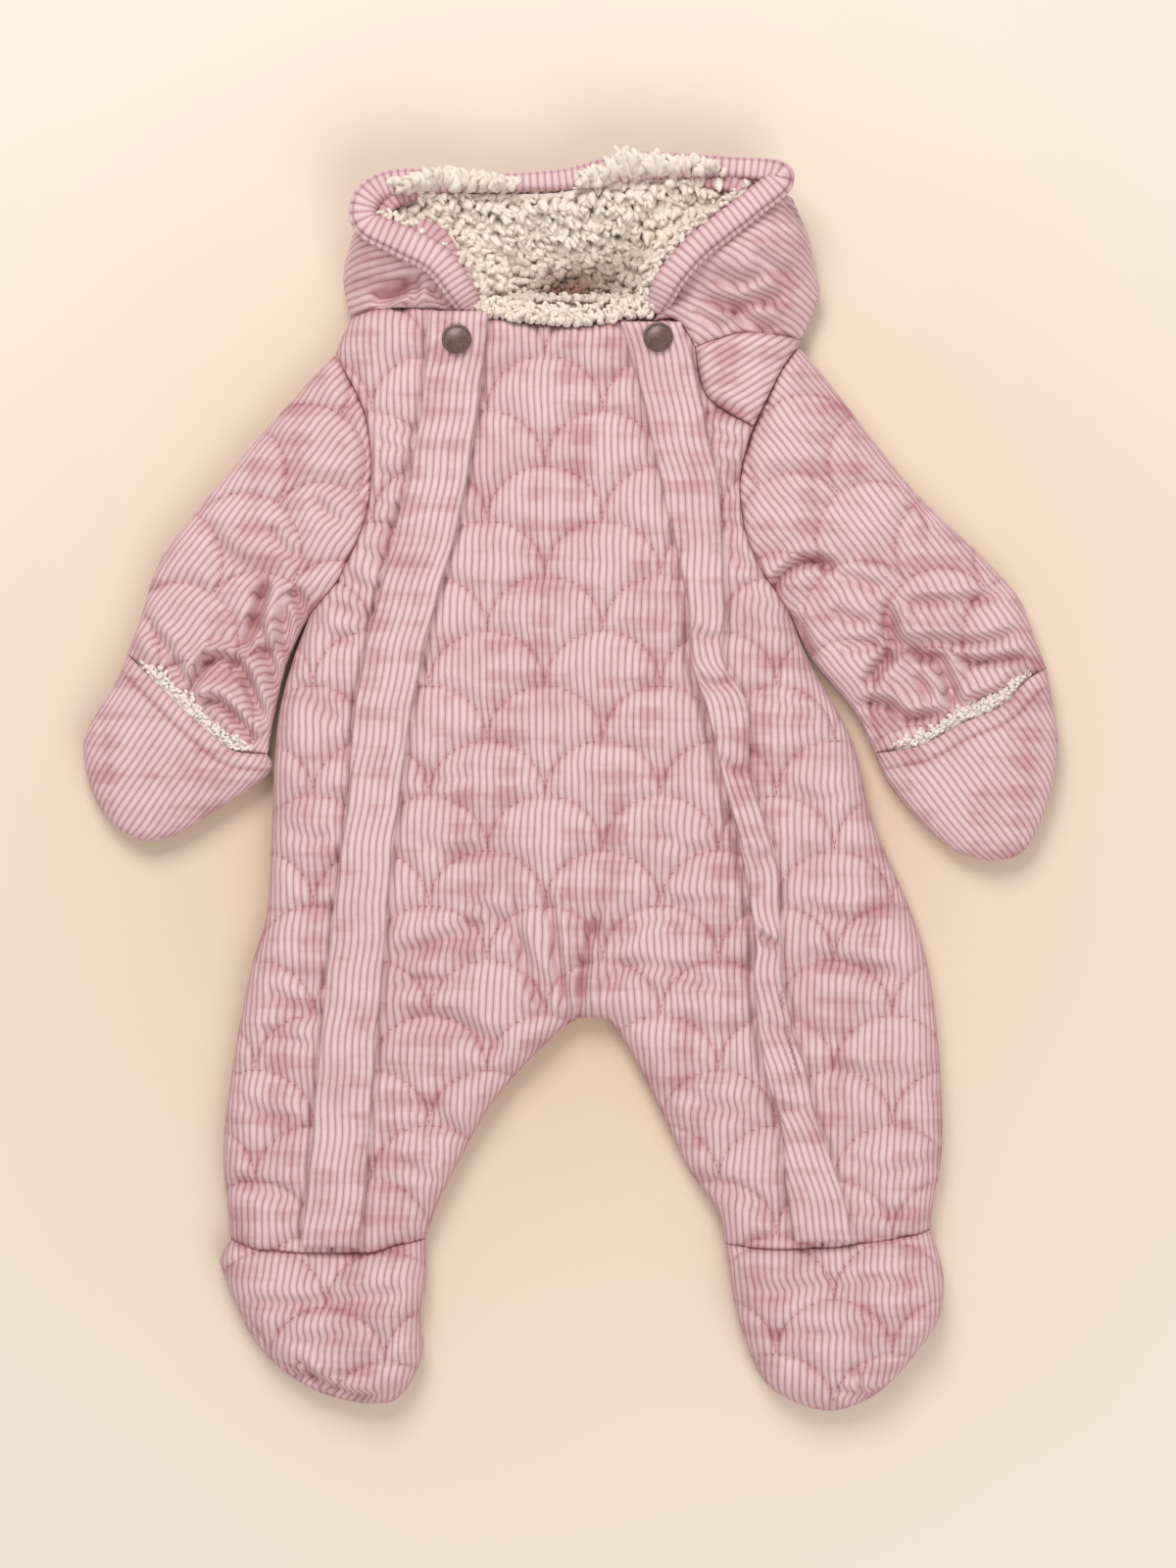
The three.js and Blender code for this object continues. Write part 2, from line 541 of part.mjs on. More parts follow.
const placketEdge = (rows, column, y) => {
  const upper = rows.findIndex((row) => row.y <= y);
  if (upper === 0) return rows[0][column];
  if (upper < 0) return rows[rows.length - 1][column];
  const high = rows[upper - 1];
  const low = rows[upper];
  return low[column] + ((high[column] - low[column]) * (y - low.y)) / (high.y - low.y);
};
const underPlacket = (x, y) => [PLACKET_LEFT_ROWS, PLACKET_RIGHT_ROWS].some((rows) => (
  x > placketEdge(rows, 'left', y) - PLACKET_MARGIN
  && x < placketEdge(rows, 'right', y) + PLACKET_MARGIN));

const bodySurface = (x, y) => puff(BODY_SIDES, BODY_THICKNESS, x, y);
const frontTop = (quilt) => (x, y, away) => {
  if (underPlacket(x, y)) return bodySurface(x, y) - PLACKET_LIFT;
  const relief = quilt ? quiltRelief(quilt, x, y) : 0;
  const onSide = rounding(sideDistance(BODY_SIDES, x, y), SIDE_ROUNDING);
  return bodySurface(x, y) + onSide * (relief + foldRelief(BODY_FOLDS, x, y) + seamDip(away));
};
const neckRise = (y) => NECK_RISE * smoothStep((y - NECK_RISE_FROM) / NECK_RISE_OVER);
const frontBottom = (x, y, away) => (
  SEAM_HEIGHT + SEAM_GAP / 2 + LAYER_GAP * smoothStep(away / SIDE_ROUNDING) + neckRise(y));
const backTop = (x, y, away) => (
  SEAM_HEIGHT - SEAM_GAP / 2 - LAYER_GAP * smoothStep(away / SIDE_ROUNDING));
const underside = (sides, x, y) => {
  const share = Math.min(sideDistance(sides, x, y) / UNDERSIDE_ROUNDING, 1);
  return (SEAM_HEIGHT - RIM_HEIGHT) * (1 - Math.sqrt(1 - (1 - share) ** 2));
};
const backBottom = (x, y) => underside(BODY_SIDES, x, y);

// Front: middle panel with both inner legs, and a side panel on each side.
const frontOptions = { quilt: FRONT_QUILT, folds: BODY_FOLDS, fill: FINE_FILL, plain: underPlacket };
addPiece('front_center', makePanel(
  [NECK_FRONT, SEAM_UNDER_PLACKET_LEFT, ANKLE_LEFT_INNER, INSEAM_LEFT, INSEAM_RIGHT,
    ANKLE_RIGHT_INNER, SEAM_UNDER_PLACKET_RIGHT],
  { top: frontTop(FRONT_QUILT), bottom: frontBottom }, frontOptions,
), CORDUROY);
addPiece('front_side_left', makePanel(
  [SEAM_UNDER_PLACKET_LEFT, ANKLE_LEFT_OUTER, SIDE_LEFT, ARMHOLE_LEFT, SHOULDER_LEFT, NECK_SIDE_LEFT],
  { top: frontTop(FRONT_QUILT), bottom: frontBottom }, frontOptions,
), CORDUROY);
addPiece('front_side_right', makePanel(
  [SEAM_UNDER_PLACKET_RIGHT, ANKLE_RIGHT_OUTER, SIDE_RIGHT, ARMHOLE_RIGHT, SHOULDER_PIECE_BOTTOM,
    NECK_SIDE_RIGHT],
  { top: frontTop(FRONT_QUILT), bottom: frontBottom }, frontOptions,
), CORDUROY);
addPiece('shoulder_right', makePanel(
  [SHOULDER_PIECE_BOTTOM, ARMHOLE_RIGHT_TOP, SHOULDER_RIGHT, SHOULDER_PIECE_TOP],
  { top: frontTop(null), bottom: frontBottom }, { fill: FINE_FILL },
), CORDUROY);

// Back: one panel from the neck to the ankles, flat on the floor.
addPiece('back', makePanel(
  [NECK_BACK, SHOULDER_LEFT, ARMHOLE_LEFT, SIDE_LEFT, ANKLE_LEFT_OUTER, ANKLE_LEFT_INNER, INSEAM_LEFT,
    INSEAM_RIGHT, ANKLE_RIGHT_INNER, ANKLE_RIGHT_OUTER, SIDE_RIGHT, ARMHOLE_RIGHT, ARMHOLE_RIGHT_TOP,
    SHOULDER_RIGHT],
  { top: backTop, bottom: backBottom },
), CORDUROY_BACK);

// Feet: an upper over a sole.
const FEET = [
  {
    side: 'left', outline: FOOT_LEFT, quilt: FOOT_QUILT_LEFT,
    ankle: [ANKLE_LEFT_OUTER, ANKLE_LEFT_INNER],
  },
  {
    side: 'right', outline: FOOT_RIGHT, quilt: FOOT_QUILT_RIGHT,
    ankle: [ANKLE_RIGHT_INNER, ANKLE_RIGHT_OUTER],
  },
];
for (const foot of FEET) {
  const seams = [foot.ankle[0], foot.ankle[1], foot.outline];
  const upperOptions = { quilt: foot.quilt, folds: BODY_FOLDS, fill: FINE_FILL };
  addPiece(`foot_upper_${foot.side}`, makePanel(
    seams, { top: frontTop(foot.quilt), bottom: frontBottom }, upperOptions,
  ), CORDUROY);
  addPiece(`foot_sole_${foot.side}`, makePanel(
    seams, { top: backTop, bottom: backBottom },
  ), CORDUROY_BACK);
}

// Sleeves and mitts.
const shiftSeam = (seam, dx, dy) => seam.map(([x, y]) => [x + dx, y + dy]);
const ARMS = [
  {
    side: 'left', armhole: [ARMHOLE_LEFT], outer: SLEEVE_OUTER_LEFT, inner: SLEEVE_INNER_LEFT,
    mouth: MOUTH_LEFT, cuff: CUFF_LEFT, mitt: MITT_LEFT, folds: SLEEVE_FOLDS_LEFT,
    quilt: SLEEVE_QUILT_LEFT, intoSleeve: [0.62, 0.78],
  },
  {
    side: 'right', armhole: [ARMHOLE_RIGHT_TOP, ARMHOLE_RIGHT], outer: SLEEVE_OUTER_RIGHT,
    inner: SLEEVE_INNER_RIGHT, mouth: MOUTH_RIGHT, cuff: CUFF_RIGHT, mitt: MITT_RIGHT,
    folds: SLEEVE_FOLDS_RIGHT, quilt: SLEEVE_QUILT_RIGHT, intoSleeve: [-0.45, 0.89],
  },
];
for (const arm of ARMS) {
  const sides = [arm.outer, arm.inner, arm.mitt].map((seam) => trace(seam, EDGE_STEP));
  const mouth = trace(arm.mouth, EDGE_STEP);
  const top = (x, y, away) => {
    const onSide = rounding(sideDistance(sides, x, y), SIDE_ROUNDING);
    const relief = quiltRelief(arm.quilt, x, y) + foldRelief(arm.folds, x, y) + seamDip(away);
    return puff(sides, SLEEVE_THICKNESS, x, y) + onSide * relief;
  };
  const cuffHollow = (x, y, away) => {
    const nearCuff = 1 - smoothStep(distanceTo(mouth, x, y) / CUFF_OPENING);
    const fromSide = sideDistance(sides, x, y) / SIDE_ROUNDING;
    return LAYER_GAP * smoothStep(away / SIDE_ROUNDING) + CUFF_HOLLOW * nearCuff * smoothStep(fromSide);
  };
  const [stepX, stepY] = arm.intoSleeve;
  const shortInner = [...arm.inner.slice(0, -1), arm.cuff[0]];
  const shortOuter = [...arm.outer.slice(0, -1), arm.cuff[arm.cuff.length - 1]];
  addPiece(`sleeve_upper_${arm.side}`, makePanel(
    [...arm.armhole, shortInner, arm.cuff, shortOuter],
    { top, bottom: (x, y, away) => SEAM_HEIGHT + SEAM_GAP / 2 + cuffHollow(x, y, away) },
    { quilt: arm.quilt, folds: arm.folds, fill: FINE_FILL },
  ), CORDUROY);
  addPiece(`sleeve_under_${arm.side}`, makePanel(
    [...arm.armhole, arm.inner, arm.mouth, arm.outer],
    {
      top: (x, y, away) => SEAM_HEIGHT - SEAM_GAP / 2 - cuffHollow(x, y, away),
      bottom: (x, y) => underside(sides, x, y),
    },
  ), CORDUROY_BACK);

  // The mitt is a pocket that is open towards the sleeve.
  const mittTop = (x, y) => puff(sides, SLEEVE_THICKNESS, x, y);
  const mittCeiling = (x, y) => {
    const free = smoothStep(sideDistance(sides, x, y) / SIDE_ROUNDING);
    const highest = heightAt(SLEEVE_THICKNESS, y) - MITT_WALL;
    return SEAM_HEIGHT + SEAM_GAP / 2 + free * (highest - SEAM_HEIGHT);
  };
  addPiece(`mitt_front_${arm.side}`, makePanel(
    [arm.mouth, arm.mitt], { top: mittTop, bottom: mittCeiling }, { fill: FINE_FILL },
  ), CORDUROY);
  addPiece(`mitt_back_${arm.side}`, makePanel(
    [arm.mouth, arm.mitt],
    {
      top: (x, y) => {
        const free = smoothStep(sideDistance(sides, x, y) / SIDE_ROUNDING);
        return SEAM_HEIGHT - SEAM_GAP / 2 - free * (SEAM_HEIGHT - MITT_WALL);
      },
      bottom: (x, y) => underside(sides, x, y),
    }, { fill: FINE_FILL },
  ), CORDUROY_BACK);

  // A plush strip lines the mouth and shows beyond its edge.
  const plushOuter = shiftSeam(arm.mouth.slice(1, -1), stepX * PLUSH_SHOWS, stepY * PLUSH_SHOWS);
  const plushInner = shiftSeam(arm.mouth.slice(1, -1), -stepX * MITT_HEM, -stepY * MITT_HEM);
  const plushLast = plushOuter.length - 1;
  const plushEnd = [plushOuter[plushLast], plushInner[plushLast]];
  const plushStart = [plushInner[0], plushOuter[0]];
  addPiece(`mitt_lining_${arm.side}`, makePanel(
    [plushOuter, plushEnd, plushInner, plushStart],
    {
      top: (x, y) => mittCeiling(x, y) - PLUSH_CLEARANCE,
      bottom: (x, y) => mittCeiling(x, y) - PLUSH_CLEARANCE - PLUSH_THICKNESS,
    }, { fill: FINE_FILL },
  ), PILE);
}

// Plackets lie on the front, the right one in ripples with its inner edge lifted.
function makePlacket(rows, lift) {
  const left = rows.map((row) => [row.left, row.y]);
  const right = rows.map((row) => [row.right, row.y]);
  const topEnd = [left[0], right[0]];
  const bottomEnd = [left[left.length - 1], right[right.length - 1]];
  return makePanel([left, bottomEnd, right, topEnd], {
    top: (x, y, away) => bodySurface(x, y) + lift(x, y)
      + RIM_HEIGHT + (PLACKET_THICKNESS - RIM_HEIGHT) * rounding(away, PLACKET_ROUNDING),
    bottom: (x, y) => bodySurface(x, y) + lift(x, y),
  }, { fill: COARSE_FILL });
}
const RIPPLE_HEIGHT = 3;
const RIPPLE_LENGTH = 58;
const RIPPLE_MEAN = 0.6;
const RIPPLE_SWING = 0.4;
const RIPPLE_TOP = 430;
const RIPPLE_TOP_FADE = 60;
const RIPPLE_BOTTOM = 100;
const RIPPLE_BOTTOM_FADE = 50;
const rippledLift = (x, y) => {
  const left = placketEdge(PLACKET_RIGHT_ROWS, 'left', y);
  const right = placketEdge(PLACKET_RIGHT_ROWS, 'right', y);
  const towardsInner = 1 - Math.min(Math.max((x - left) / (right - left), 0), 1);
  const wave = RIPPLE_MEAN + RIPPLE_SWING * Math.cos((2 * Math.PI * y) / RIPPLE_LENGTH);
  const below = smoothStep((RIPPLE_TOP - y) / RIPPLE_TOP_FADE);
  const above = smoothStep((y - RIPPLE_BOTTOM) / RIPPLE_BOTTOM_FADE);
  return RIPPLE_HEIGHT * wave * below * above * towardsInner;
};
addPiece('placket_left', makePlacket(PLACKET_LEFT_ROWS, () => 0), CORDUROY);
addPiece('placket_right', makePlacket(PLACKET_RIGHT_ROWS, rippledLift), CORDUROY);

// Snap caps: low domes with a rolled edge, as distance in from the edge and height.
const SNAP_PROFILE = [
  { inset: SNAP_RADIUS, height: 0 }, { inset: 0.6, height: 0 }, { inset: 0, height: 0.6 },
  { inset: 0, height: 1.4 }, { inset: 0.7, height: 2.1 }, { inset: 1.6, height: 1.9 },
  { inset: SNAP_RADIUS / 2, height: SNAP_HEIGHT - 0.2 }, { inset: SNAP_RADIUS, height: SNAP_HEIGHT },
];
const snapProfile = SNAP_PROFILE.map((row) => new THREE.Vector2(SNAP_RADIUS - row.inset, row.height));
for (const snap of SNAPS) {
  const cap = new THREE.LatheGeometry(snapProfile, SNAP_SIDES);
  cap.rotateX(Math.PI / 2);
  const heights = Array.from({ length: SNAP_SIDES }, (_, k) => {
    const angle = (2 * Math.PI * k) / SNAP_SIDES;
    const x = snap.x + SNAP_RADIUS * Math.cos(angle);
    const y = snap.y + SNAP_RADIUS * Math.sin(angle);
    return bodySurface(x, y);
  });
  cap.translate(snap.x, snap.y, Math.max(...heights) + PLACKET_THICKNESS - SNAP_SEATING);
  addPiece(snap.name, cap, SNAP_COLOUR, SNAP_ROUGHNESS, SNAP_METALNESS);
}

// Hood: shell on the floor that curls up at the forehead, two side walls, pile lining and rim band.
const hoodSides = [HOOD_OUTLINE_LEFT, HOOD_OUTLINE_RIGHT].map((seam) => trace(seam, EDGE_STEP));
const hoodCrown = trace(HOOD_CROWN.slice(1, -1), EDGE_STEP);
const hoodShellBottom = (x, y) => {
  const share = Math.min(distanceTo(hoodCrown, x, y) / HOOD_CROWN_ROUNDING, 1);
  const crownLift = HOOD_CROWN_LIFT * (1 - share) ** 2;
  const sideShare = Math.min(sideDistance(hoodSides, x, y) / UNDERSIDE_ROUNDING, 1);
  const sideLift = (SEAM_HEIGHT - HOOD_SHELL) * (1 - sideShare) ** 2;
  return Math.max(crownLift, sideLift);
};
const hoodShellTop = (x, y) => hoodShellBottom(x, y) + HOOD_SHELL - SEAM_GAP / 2;
addPiece('hood_back', makePanel(
  [NECK_BACK, HOOD_OUTLINE_LEFT, HOOD_CROWN, HOOD_OUTLINE_RIGHT],
  { top: hoodShellTop, bottom: hoodShellBottom }, { fill: FINE_FILL },
), CORDUROY_BACK);

const HOOD_SIDES = [
  {
    side: 'left', rim: HOOD_RIM_LEFT, neck: [NECK_SIDE_LEFT, [[-61, 560], [-64, 567.5]]],
    outline: [[-116.5, 558], [-120.5, 577.5], [-118, 592.5], [-112, 606], [-97, 613]],
  },
  {
    side: 'right', rim: HOOD_RIM_RIGHT,
    neck: [SHOULDER_PIECE_TOP, NECK_SIDE_RIGHT, [[38, 555.5], [43, 563], [50, 571]]],
    outline: [[114, 547], [123.5, 570], [121, 582.5], [117, 603], [104, 617]],
  },
];
for (const half of HOOD_SIDES) {
  const rim = trace(half.rim, EDGE_STEP);
  const outline = trace(half.outline, EDGE_STEP);
  const dome = (x, y) => {
    const fromRim = distanceTo(rim, x, y);
    const share = fromRim / (fromRim + distanceTo(outline, x, y));
    const base = Math.max(SEAM_HEIGHT, hoodShellTop(x, y) + HOOD_SIDE_CLEARANCE) + RIM_HEIGHT;
    return base + (heightAt(HOOD_RIM_HEIGHT, y) - base) * Math.sqrt(1 - share ** 2);
  };
  const top = (x, y, away) => {
    const onSide = rounding(distanceTo(outline, x, y), SIDE_ROUNDING);
    return dome(x, y) + onSide * (foldRelief(HOOD_FOLDS, x, y) + seamDip(away));
  };
  const bottom = (x, y) => {
    const wall = dome(x, y) - HOOD_SIDE_WALL;
    const overLining = HOOD_OVER_LINING * smoothStep(distanceTo(outline, x, y) / UNDERSIDE_ROUNDING);
    const lowest = Math.max(
      SEAM_HEIGHT + SEAM_GAP / 2 + overLining,
      hoodShellTop(x, y) + HOOD_SIDE_CLEARANCE,
    );
    return Math.max(lowest, wall + foldRelief(HOOD_FOLDS, x, y) * HOOD_INNER_FOLDS);
  };
  addPiece(`hood_side_${half.side}`, makePanel(
    [half.rim, half.outline, ...half.neck], { top, bottom }, { folds: HOOD_FOLDS, fill: FINE_FILL },
  ), CORDUROY);
}

const LINING_SIDE_LEFT = [[-96, 562], [-101, 578], [-98, 595], [-90, 615]];
const LINING_SIDE_RIGHT = [[92, 552], [104, 572], [102, 595], [94, 622]];
const LINING_CROWN = [
  [-90, 615], [-72, 619], [-34, 619], [-9, 620], [15, 624.5], [43.5, 626.5], [80, 626], [94, 622],
];
const LINING_NECK = [[-96, 562], [-60, 561.5], [0, 558], [70, 554], [92, 552]];
const liningBottom = (x, y) => {
  const lifted = smoothStep((y - HOOD_LINING_FREE_FROM) / HOOD_LINING_FREE_OVER);
  const clearance = HOOD_LINING_PRESSED + (1 - HOOD_LINING_PRESSED) * lifted;
  return hoodShellBottom(x, y) + HOOD_SHELL + HOOD_LINING_CLEARANCE * clearance;
};
addPiece('hood_lining', makePanel(
  [LINING_NECK, LINING_SIDE_LEFT, LINING_CROWN, LINING_SIDE_RIGHT],
  {
    top: (x, y) => liningBottom(x, y) + HOOD_LINING,
    bottom: liningBottom,
  }, { fill: FINE_FILL },
), PILE);

const PILE_NECK_TOP = [[35, 557.5], [30, 565], [5, 566], [-20, 566], [-46, 563], [-50, 560]];
const PILE_NECK_BOTTOM = [
  [35, 557.5], [25, 557.6], [5, 554.2], [-15, 554.2], [-45, 558.3], [-50, 560],
];
const neckLiningBottom = (x, y) => SEAM_HEIGHT + neckRise(y) + NECK_LINING_CLEARANCE;
addPiece('neck_lining', makePanel(
  [PILE_NECK_TOP, PILE_NECK_BOTTOM],
  {
    top: (x, y) => neckLiningBottom(x, y) + NECK_LINING,
    bottom: neckLiningBottom,
  }, { fill: FINE_FILL },
), PILE);

// Rim band: a rounded strip swept along the edge of the hood.
function makeBand(rows, steps) {
  const path = new THREE.CatmullRomCurve3(rows.map((row) => new THREE.Vector3(row.x, row.y, row.z)));
  const widths = new THREE.CatmullRomCurve3(rows.map((row) => new THREE.Vector3(row.width, 0, 0)));
  const position = [];
  const index = [];
  for (let i = 0; i <= steps; i += 1) {
    const centre = path.getPoint(i / steps);
    const tangent = path.getTangent(i / steps);
    const across = new THREE.Vector2(tangent.y, -tangent.x).normalize();
    const halfWidth = widths.getPoint(i / steps).x / 2;
    for (let k = 0; k < BAND_SIDES; k += 1) {
      const angle = (2 * Math.PI * k) / BAND_SIDES;
      const out = halfWidth * Math.cos(angle);
      const up = BAND_HALF_HEIGHT * Math.sin(angle);
      position.push(centre.x + across.x * out, centre.y + across.y * out, centre.z + up);
    }
  }
  for (let i = 0; i < steps; i += 1) {
    for (let k = 0; k < BAND_SIDES; k += 1) {
      const here = i * BAND_SIDES + k;
      const beside = i * BAND_SIDES + ((k + 1) % BAND_SIDES);
      index.push(here, here + BAND_SIDES, beside, beside, here + BAND_SIDES, beside + BAND_SIDES);
    }
  }
  for (let k = 1; k + 1 < BAND_SIDES; k += 1) {
    const last = steps * BAND_SIDES;
    index.push(0, k, k + 1, last, last + k + 1, last + k);
  }
  const geometry = new THREE.BufferGeometry();
  geometry.setAttribute('position', new THREE.Float32BufferAttribute(position, 3));
  geometry.setIndex(index);
  geometry.computeVertexNormals();
  return geometry;
}
addPiece('hood_band', makeBand(BAND_PATH, BAND_STEPS), BAND_COLOUR);

// The origin is the middle of the flat footprint, on the floor.
const box = new THREE.Box3().setFromObject(garment);
const centre = box.getCenter(new THREE.Vector3());
garment.position.set(-centre.x, -centre.y, -box.min.z);

export default garment;
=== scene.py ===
"""Baby snowsuit of quilted corduroy, laid flat: its cloth, pile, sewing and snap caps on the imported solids.

Sizes are in millimetres in the plan of the cut: x across from the middle, y from the soles to the hood, z up.
"""

import logging
import math
from dataclasses import dataclass, field
from enum import Enum
from typing import Callable, Sequence

import bpy
import numpy as np
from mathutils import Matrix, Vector
from mathutils.geometry import delaunay_2d_cdt


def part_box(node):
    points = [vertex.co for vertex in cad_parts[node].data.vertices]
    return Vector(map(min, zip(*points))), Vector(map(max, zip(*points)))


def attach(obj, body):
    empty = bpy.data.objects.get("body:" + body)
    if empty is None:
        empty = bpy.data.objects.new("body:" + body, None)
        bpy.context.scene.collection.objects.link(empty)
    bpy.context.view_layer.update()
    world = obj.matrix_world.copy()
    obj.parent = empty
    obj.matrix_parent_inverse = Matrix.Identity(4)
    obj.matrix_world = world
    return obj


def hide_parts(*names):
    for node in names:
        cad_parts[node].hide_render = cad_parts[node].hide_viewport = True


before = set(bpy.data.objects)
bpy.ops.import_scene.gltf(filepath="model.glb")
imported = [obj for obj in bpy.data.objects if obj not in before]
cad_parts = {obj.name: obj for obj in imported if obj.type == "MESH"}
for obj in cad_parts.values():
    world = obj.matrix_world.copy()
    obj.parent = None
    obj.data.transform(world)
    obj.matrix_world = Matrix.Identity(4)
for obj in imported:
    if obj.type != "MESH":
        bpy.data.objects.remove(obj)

LOG = logging.getLogger("snowsuit")
MM = 0.001
Spot = tuple[float, float]
Line = Sequence[Spot]

# Corduroy of seven ribs to the inch.
RIB = 3.63
RIB_HEIGHT = 0.62
RIB_SAMPLES = 5
ALONG_RIB = 1.9

# Wall and seam sizes, as the solids have them.
SEAM_GAP = 0.4
SEAM_HEIGHT = 10.0
RIM_HEIGHT = 2.0
SIDE_ROUNDING = 20.0
SIDE_SQUARENESS = 2.4
SEAM_DIP = 2.2
SEAM_DIP_WIDTH = 9.0
LAYER_GAP = 1.2
UNDERSIDE_ROUNDING = 14.0
PLACKET_THICKNESS = 4.5
PLACKET_LIFT = 0.7
PLACKET_ROUNDING = 4.0
MITT_WALL = 5.5
HOOD_SHELL = 4.0
HOOD_LINING = 7.0

BODY_THICKNESS = ((0, 27), (50, 33), (84, 27), (200, 25), (320, 28), (450, 27), (525, 27), (560, 30))
SLEEVE_THICKNESS = ((280, 21), (345, 22), (400, 25), (540, 26))
HOOD_RIM_HEIGHT = ((545, 30), (568, 31), (592, 43), (622, 41))

# Outlines and seams, as points of smooth curves.
ARMHOLE_LEFT = ((-124.5, 540), (-109.5, 510.5), (-105.5, 481), (-109.5, 453), (-122.5, 424.5), (-137.5, 406.5))
ARMHOLE_RIGHT_TOP = ((113, 544), (104, 531.5), (89.5, 502.5))
ARMHOLE_RIGHT = ((89.5, 502.5), (83.5, 482), (83, 461), (89.5, 436.5), (108.5, 406.5))
SIDE_LEFT = (
    (-137.5, 406.5), (-146.5, 382.5), (-154, 351), (-157, 301), (-159.5, 255), (-168, 225),
    (-176.5, 180), (-182, 135), (-180, 108), (-178, 87.5),
)
SIDE_RIGHT = (
    (108.5, 406.5), (119.5, 380.5), (136.5, 351), (144, 330.5), (151, 301), (170.5, 255),
    (179.5, 225), (185, 180), (186.5, 135), (182, 106), (180, 92.5),
)
INSEAM_LEFT = ((0, 200), (-9, 194), (-28, 175.5), (-47, 152), (-62, 125), (-72.5, 103.5), (-78, 87.5))
INSEAM_RIGHT = ((0, 200), (14, 199.5), (24, 187.5), (45, 146.5), (56, 123), (71, 102), (75, 85))
ANKLE_LEFT_OUTER = ((-178, 87.5), (-163.5, 83), (-144, 81.5), (-126, 81))
ANKLE_LEFT_INNER = ((-126, 81), (-108, 81), (-93, 84.5), (-78, 87.5))
ANKLE_RIGHT_INNER = ((75, 85), (100, 83), (125, 83.5))
ANKLE_RIGHT_OUTER = ((125, 83.5), (143.5, 85.5), (169.5, 89.5), (180, 92.5))
SEAM_UNDER_PLACKET_LEFT = (
    (-61, 560), (-64.5, 508), (-75, 456), (-88.5, 406), (-99.5, 360), (-104, 310), (-109, 270),
    (-114, 220), (-126, 81),
)
SEAM_UNDER_PLACKET_RIGHT = (
    (38, 555.5), (51, 500), (61, 442), (68, 384), (79, 333), (92, 274), (97, 218), (109, 160), (125, 83.5),
)
NECK_FRONT = ((38, 555.5), (25, 557), (5, 553.5), (-15, 553.5), (-45, 557.5), (-61, 560))
NECK_SIDE_LEFT = ((-61, 560), (-77.5, 562), (-100, 562), (-116.5, 558))
SHOULDER_LEFT = ((-116.5, 558), (-121, 549), (-124.5, 540))
NECK_SIDE_RIGHT = ((38, 555.5), (47, 557), (53.5, 553), (59.5, 542.5))
SHOULDER_PIECE_TOP = ((59.5, 542.5), (72, 547), (87.5, 550), (114, 547))
SHOULDER_PIECE_BOTTOM = ((59.5, 542.5), (62, 528), (66, 517.5), (78, 509), (89.5, 502.5))
SHOULDER_RIGHT = ((114, 547), (113, 544))
NECK_BACK = ((-116.5, 558), (-60, 556), (0, 555), (70, 549), (114, 547))
FOOT_LEFT = (
    (-178, 87.5), (-183.5, 76), (-178, 60), (-167.5, 37.5), (-153, 21), (-131.5, 8), (-104.5, 2.5),
    (-89.5, 8), (-79.5, 28.5), (-81, 47), (-78, 66), (-78, 87.5),
)
FOOT_RIGHT = (
    (75, 85), (78, 66), (81.5, 47), (92.5, 18), (106.5, 5.5), (127, -1), (144.5, 3), (160.5, 14),
    (175.5, 32), (185, 47), (187, 70), (180, 92.5),
)
SLEEVE_OUTER_LEFT = (
    (-124.5, 540), (-139, 525), (-166, 495), (-191.5, 465), (-214, 435), (-224.5, 405), (-231, 387),
)
SLEEVE_INNER_LEFT = ((-137.5, 406.5), (-149, 382.5), (-156.5, 351), (-159, 335.5))
MOUTH_LEFT = ((-159, 335.5), (-176.5, 337.5), (-189, 347), (-199.5, 356), (-211, 367.5), (-231, 387))
MITT_LEFT = (
    (-231, 387), (-238, 370.5), (-251.5, 348.5), (-253.5, 334), (-247.5, 312), (-236.5, 298),
    (-222, 290.5), (-207.5, 293.5), (-189, 304.5), (-159, 325), (-159, 335.5),
)
SLEEVE_OUTER_RIGHT = (
    (113, 544), (129, 525), (152, 495), (177, 465), (208.5, 435), (226, 415), (234, 394), (240, 379),
)
SLEEVE_INNER_RIGHT = ((108.5, 406.5), (121, 382), (141, 358), (152, 336))
MOUTH_RIGHT = ((152, 336), (175, 340), (195.5, 351), (216, 360), (230, 374), (240, 379))
MITT_RIGHT = (
    (240, 379), (243, 362), (246, 338), (240, 308.5), (229, 286.5), (212, 280.5), (192, 286.5),
    (173.5, 303), (158, 322), (152, 336),
)
HOOD_OUTLINE_LEFT = ((-116.5, 558), (-120.5, 577.5), (-118, 592.5), (-110, 609))
HOOD_OUTLINE_RIGHT = ((114, 547), (123.5, 570), (121, 582.5), (117, 603), (110, 620))
HOOD_CROWN = (
    (-110, 609), (-98, 617), (-72, 620.5), (-34, 620.5), (-9, 621.5), (15, 626), (43.5, 628),
    (80, 627.5), (98, 624.5), (110, 620),
)
HOOD_RIM_LEFT = ((-64, 567.5), (-73, 581), (-90, 591.5), (-102, 600), (-102, 608), (-97, 613))
HOOD_RIM_RIGHT = ((50, 571), (58, 586), (72.5, 598), (86, 608), (104, 617))
LINING_SIDE_LEFT = ((-96, 562), (-101, 578), (-98, 595), (-90, 615))
LINING_SIDE_RIGHT = ((92, 552), (104, 572), (102, 595), (94, 622))
LINING_CROWN = (
    (-90, 615), (-72, 619), (-34, 619), (-9, 620), (15, 624.5), (43.5, 626.5), (80, 626), (94, 622),
)
LINING_NECK = ((-96, 562), (-60, 561.5), (0, 558), (70, 554), (92, 552))
PILE_NECK_TOP = ((35, 557.5), (30, 565), (5, 566), (-20, 566), (-46, 563), (-50, 560))
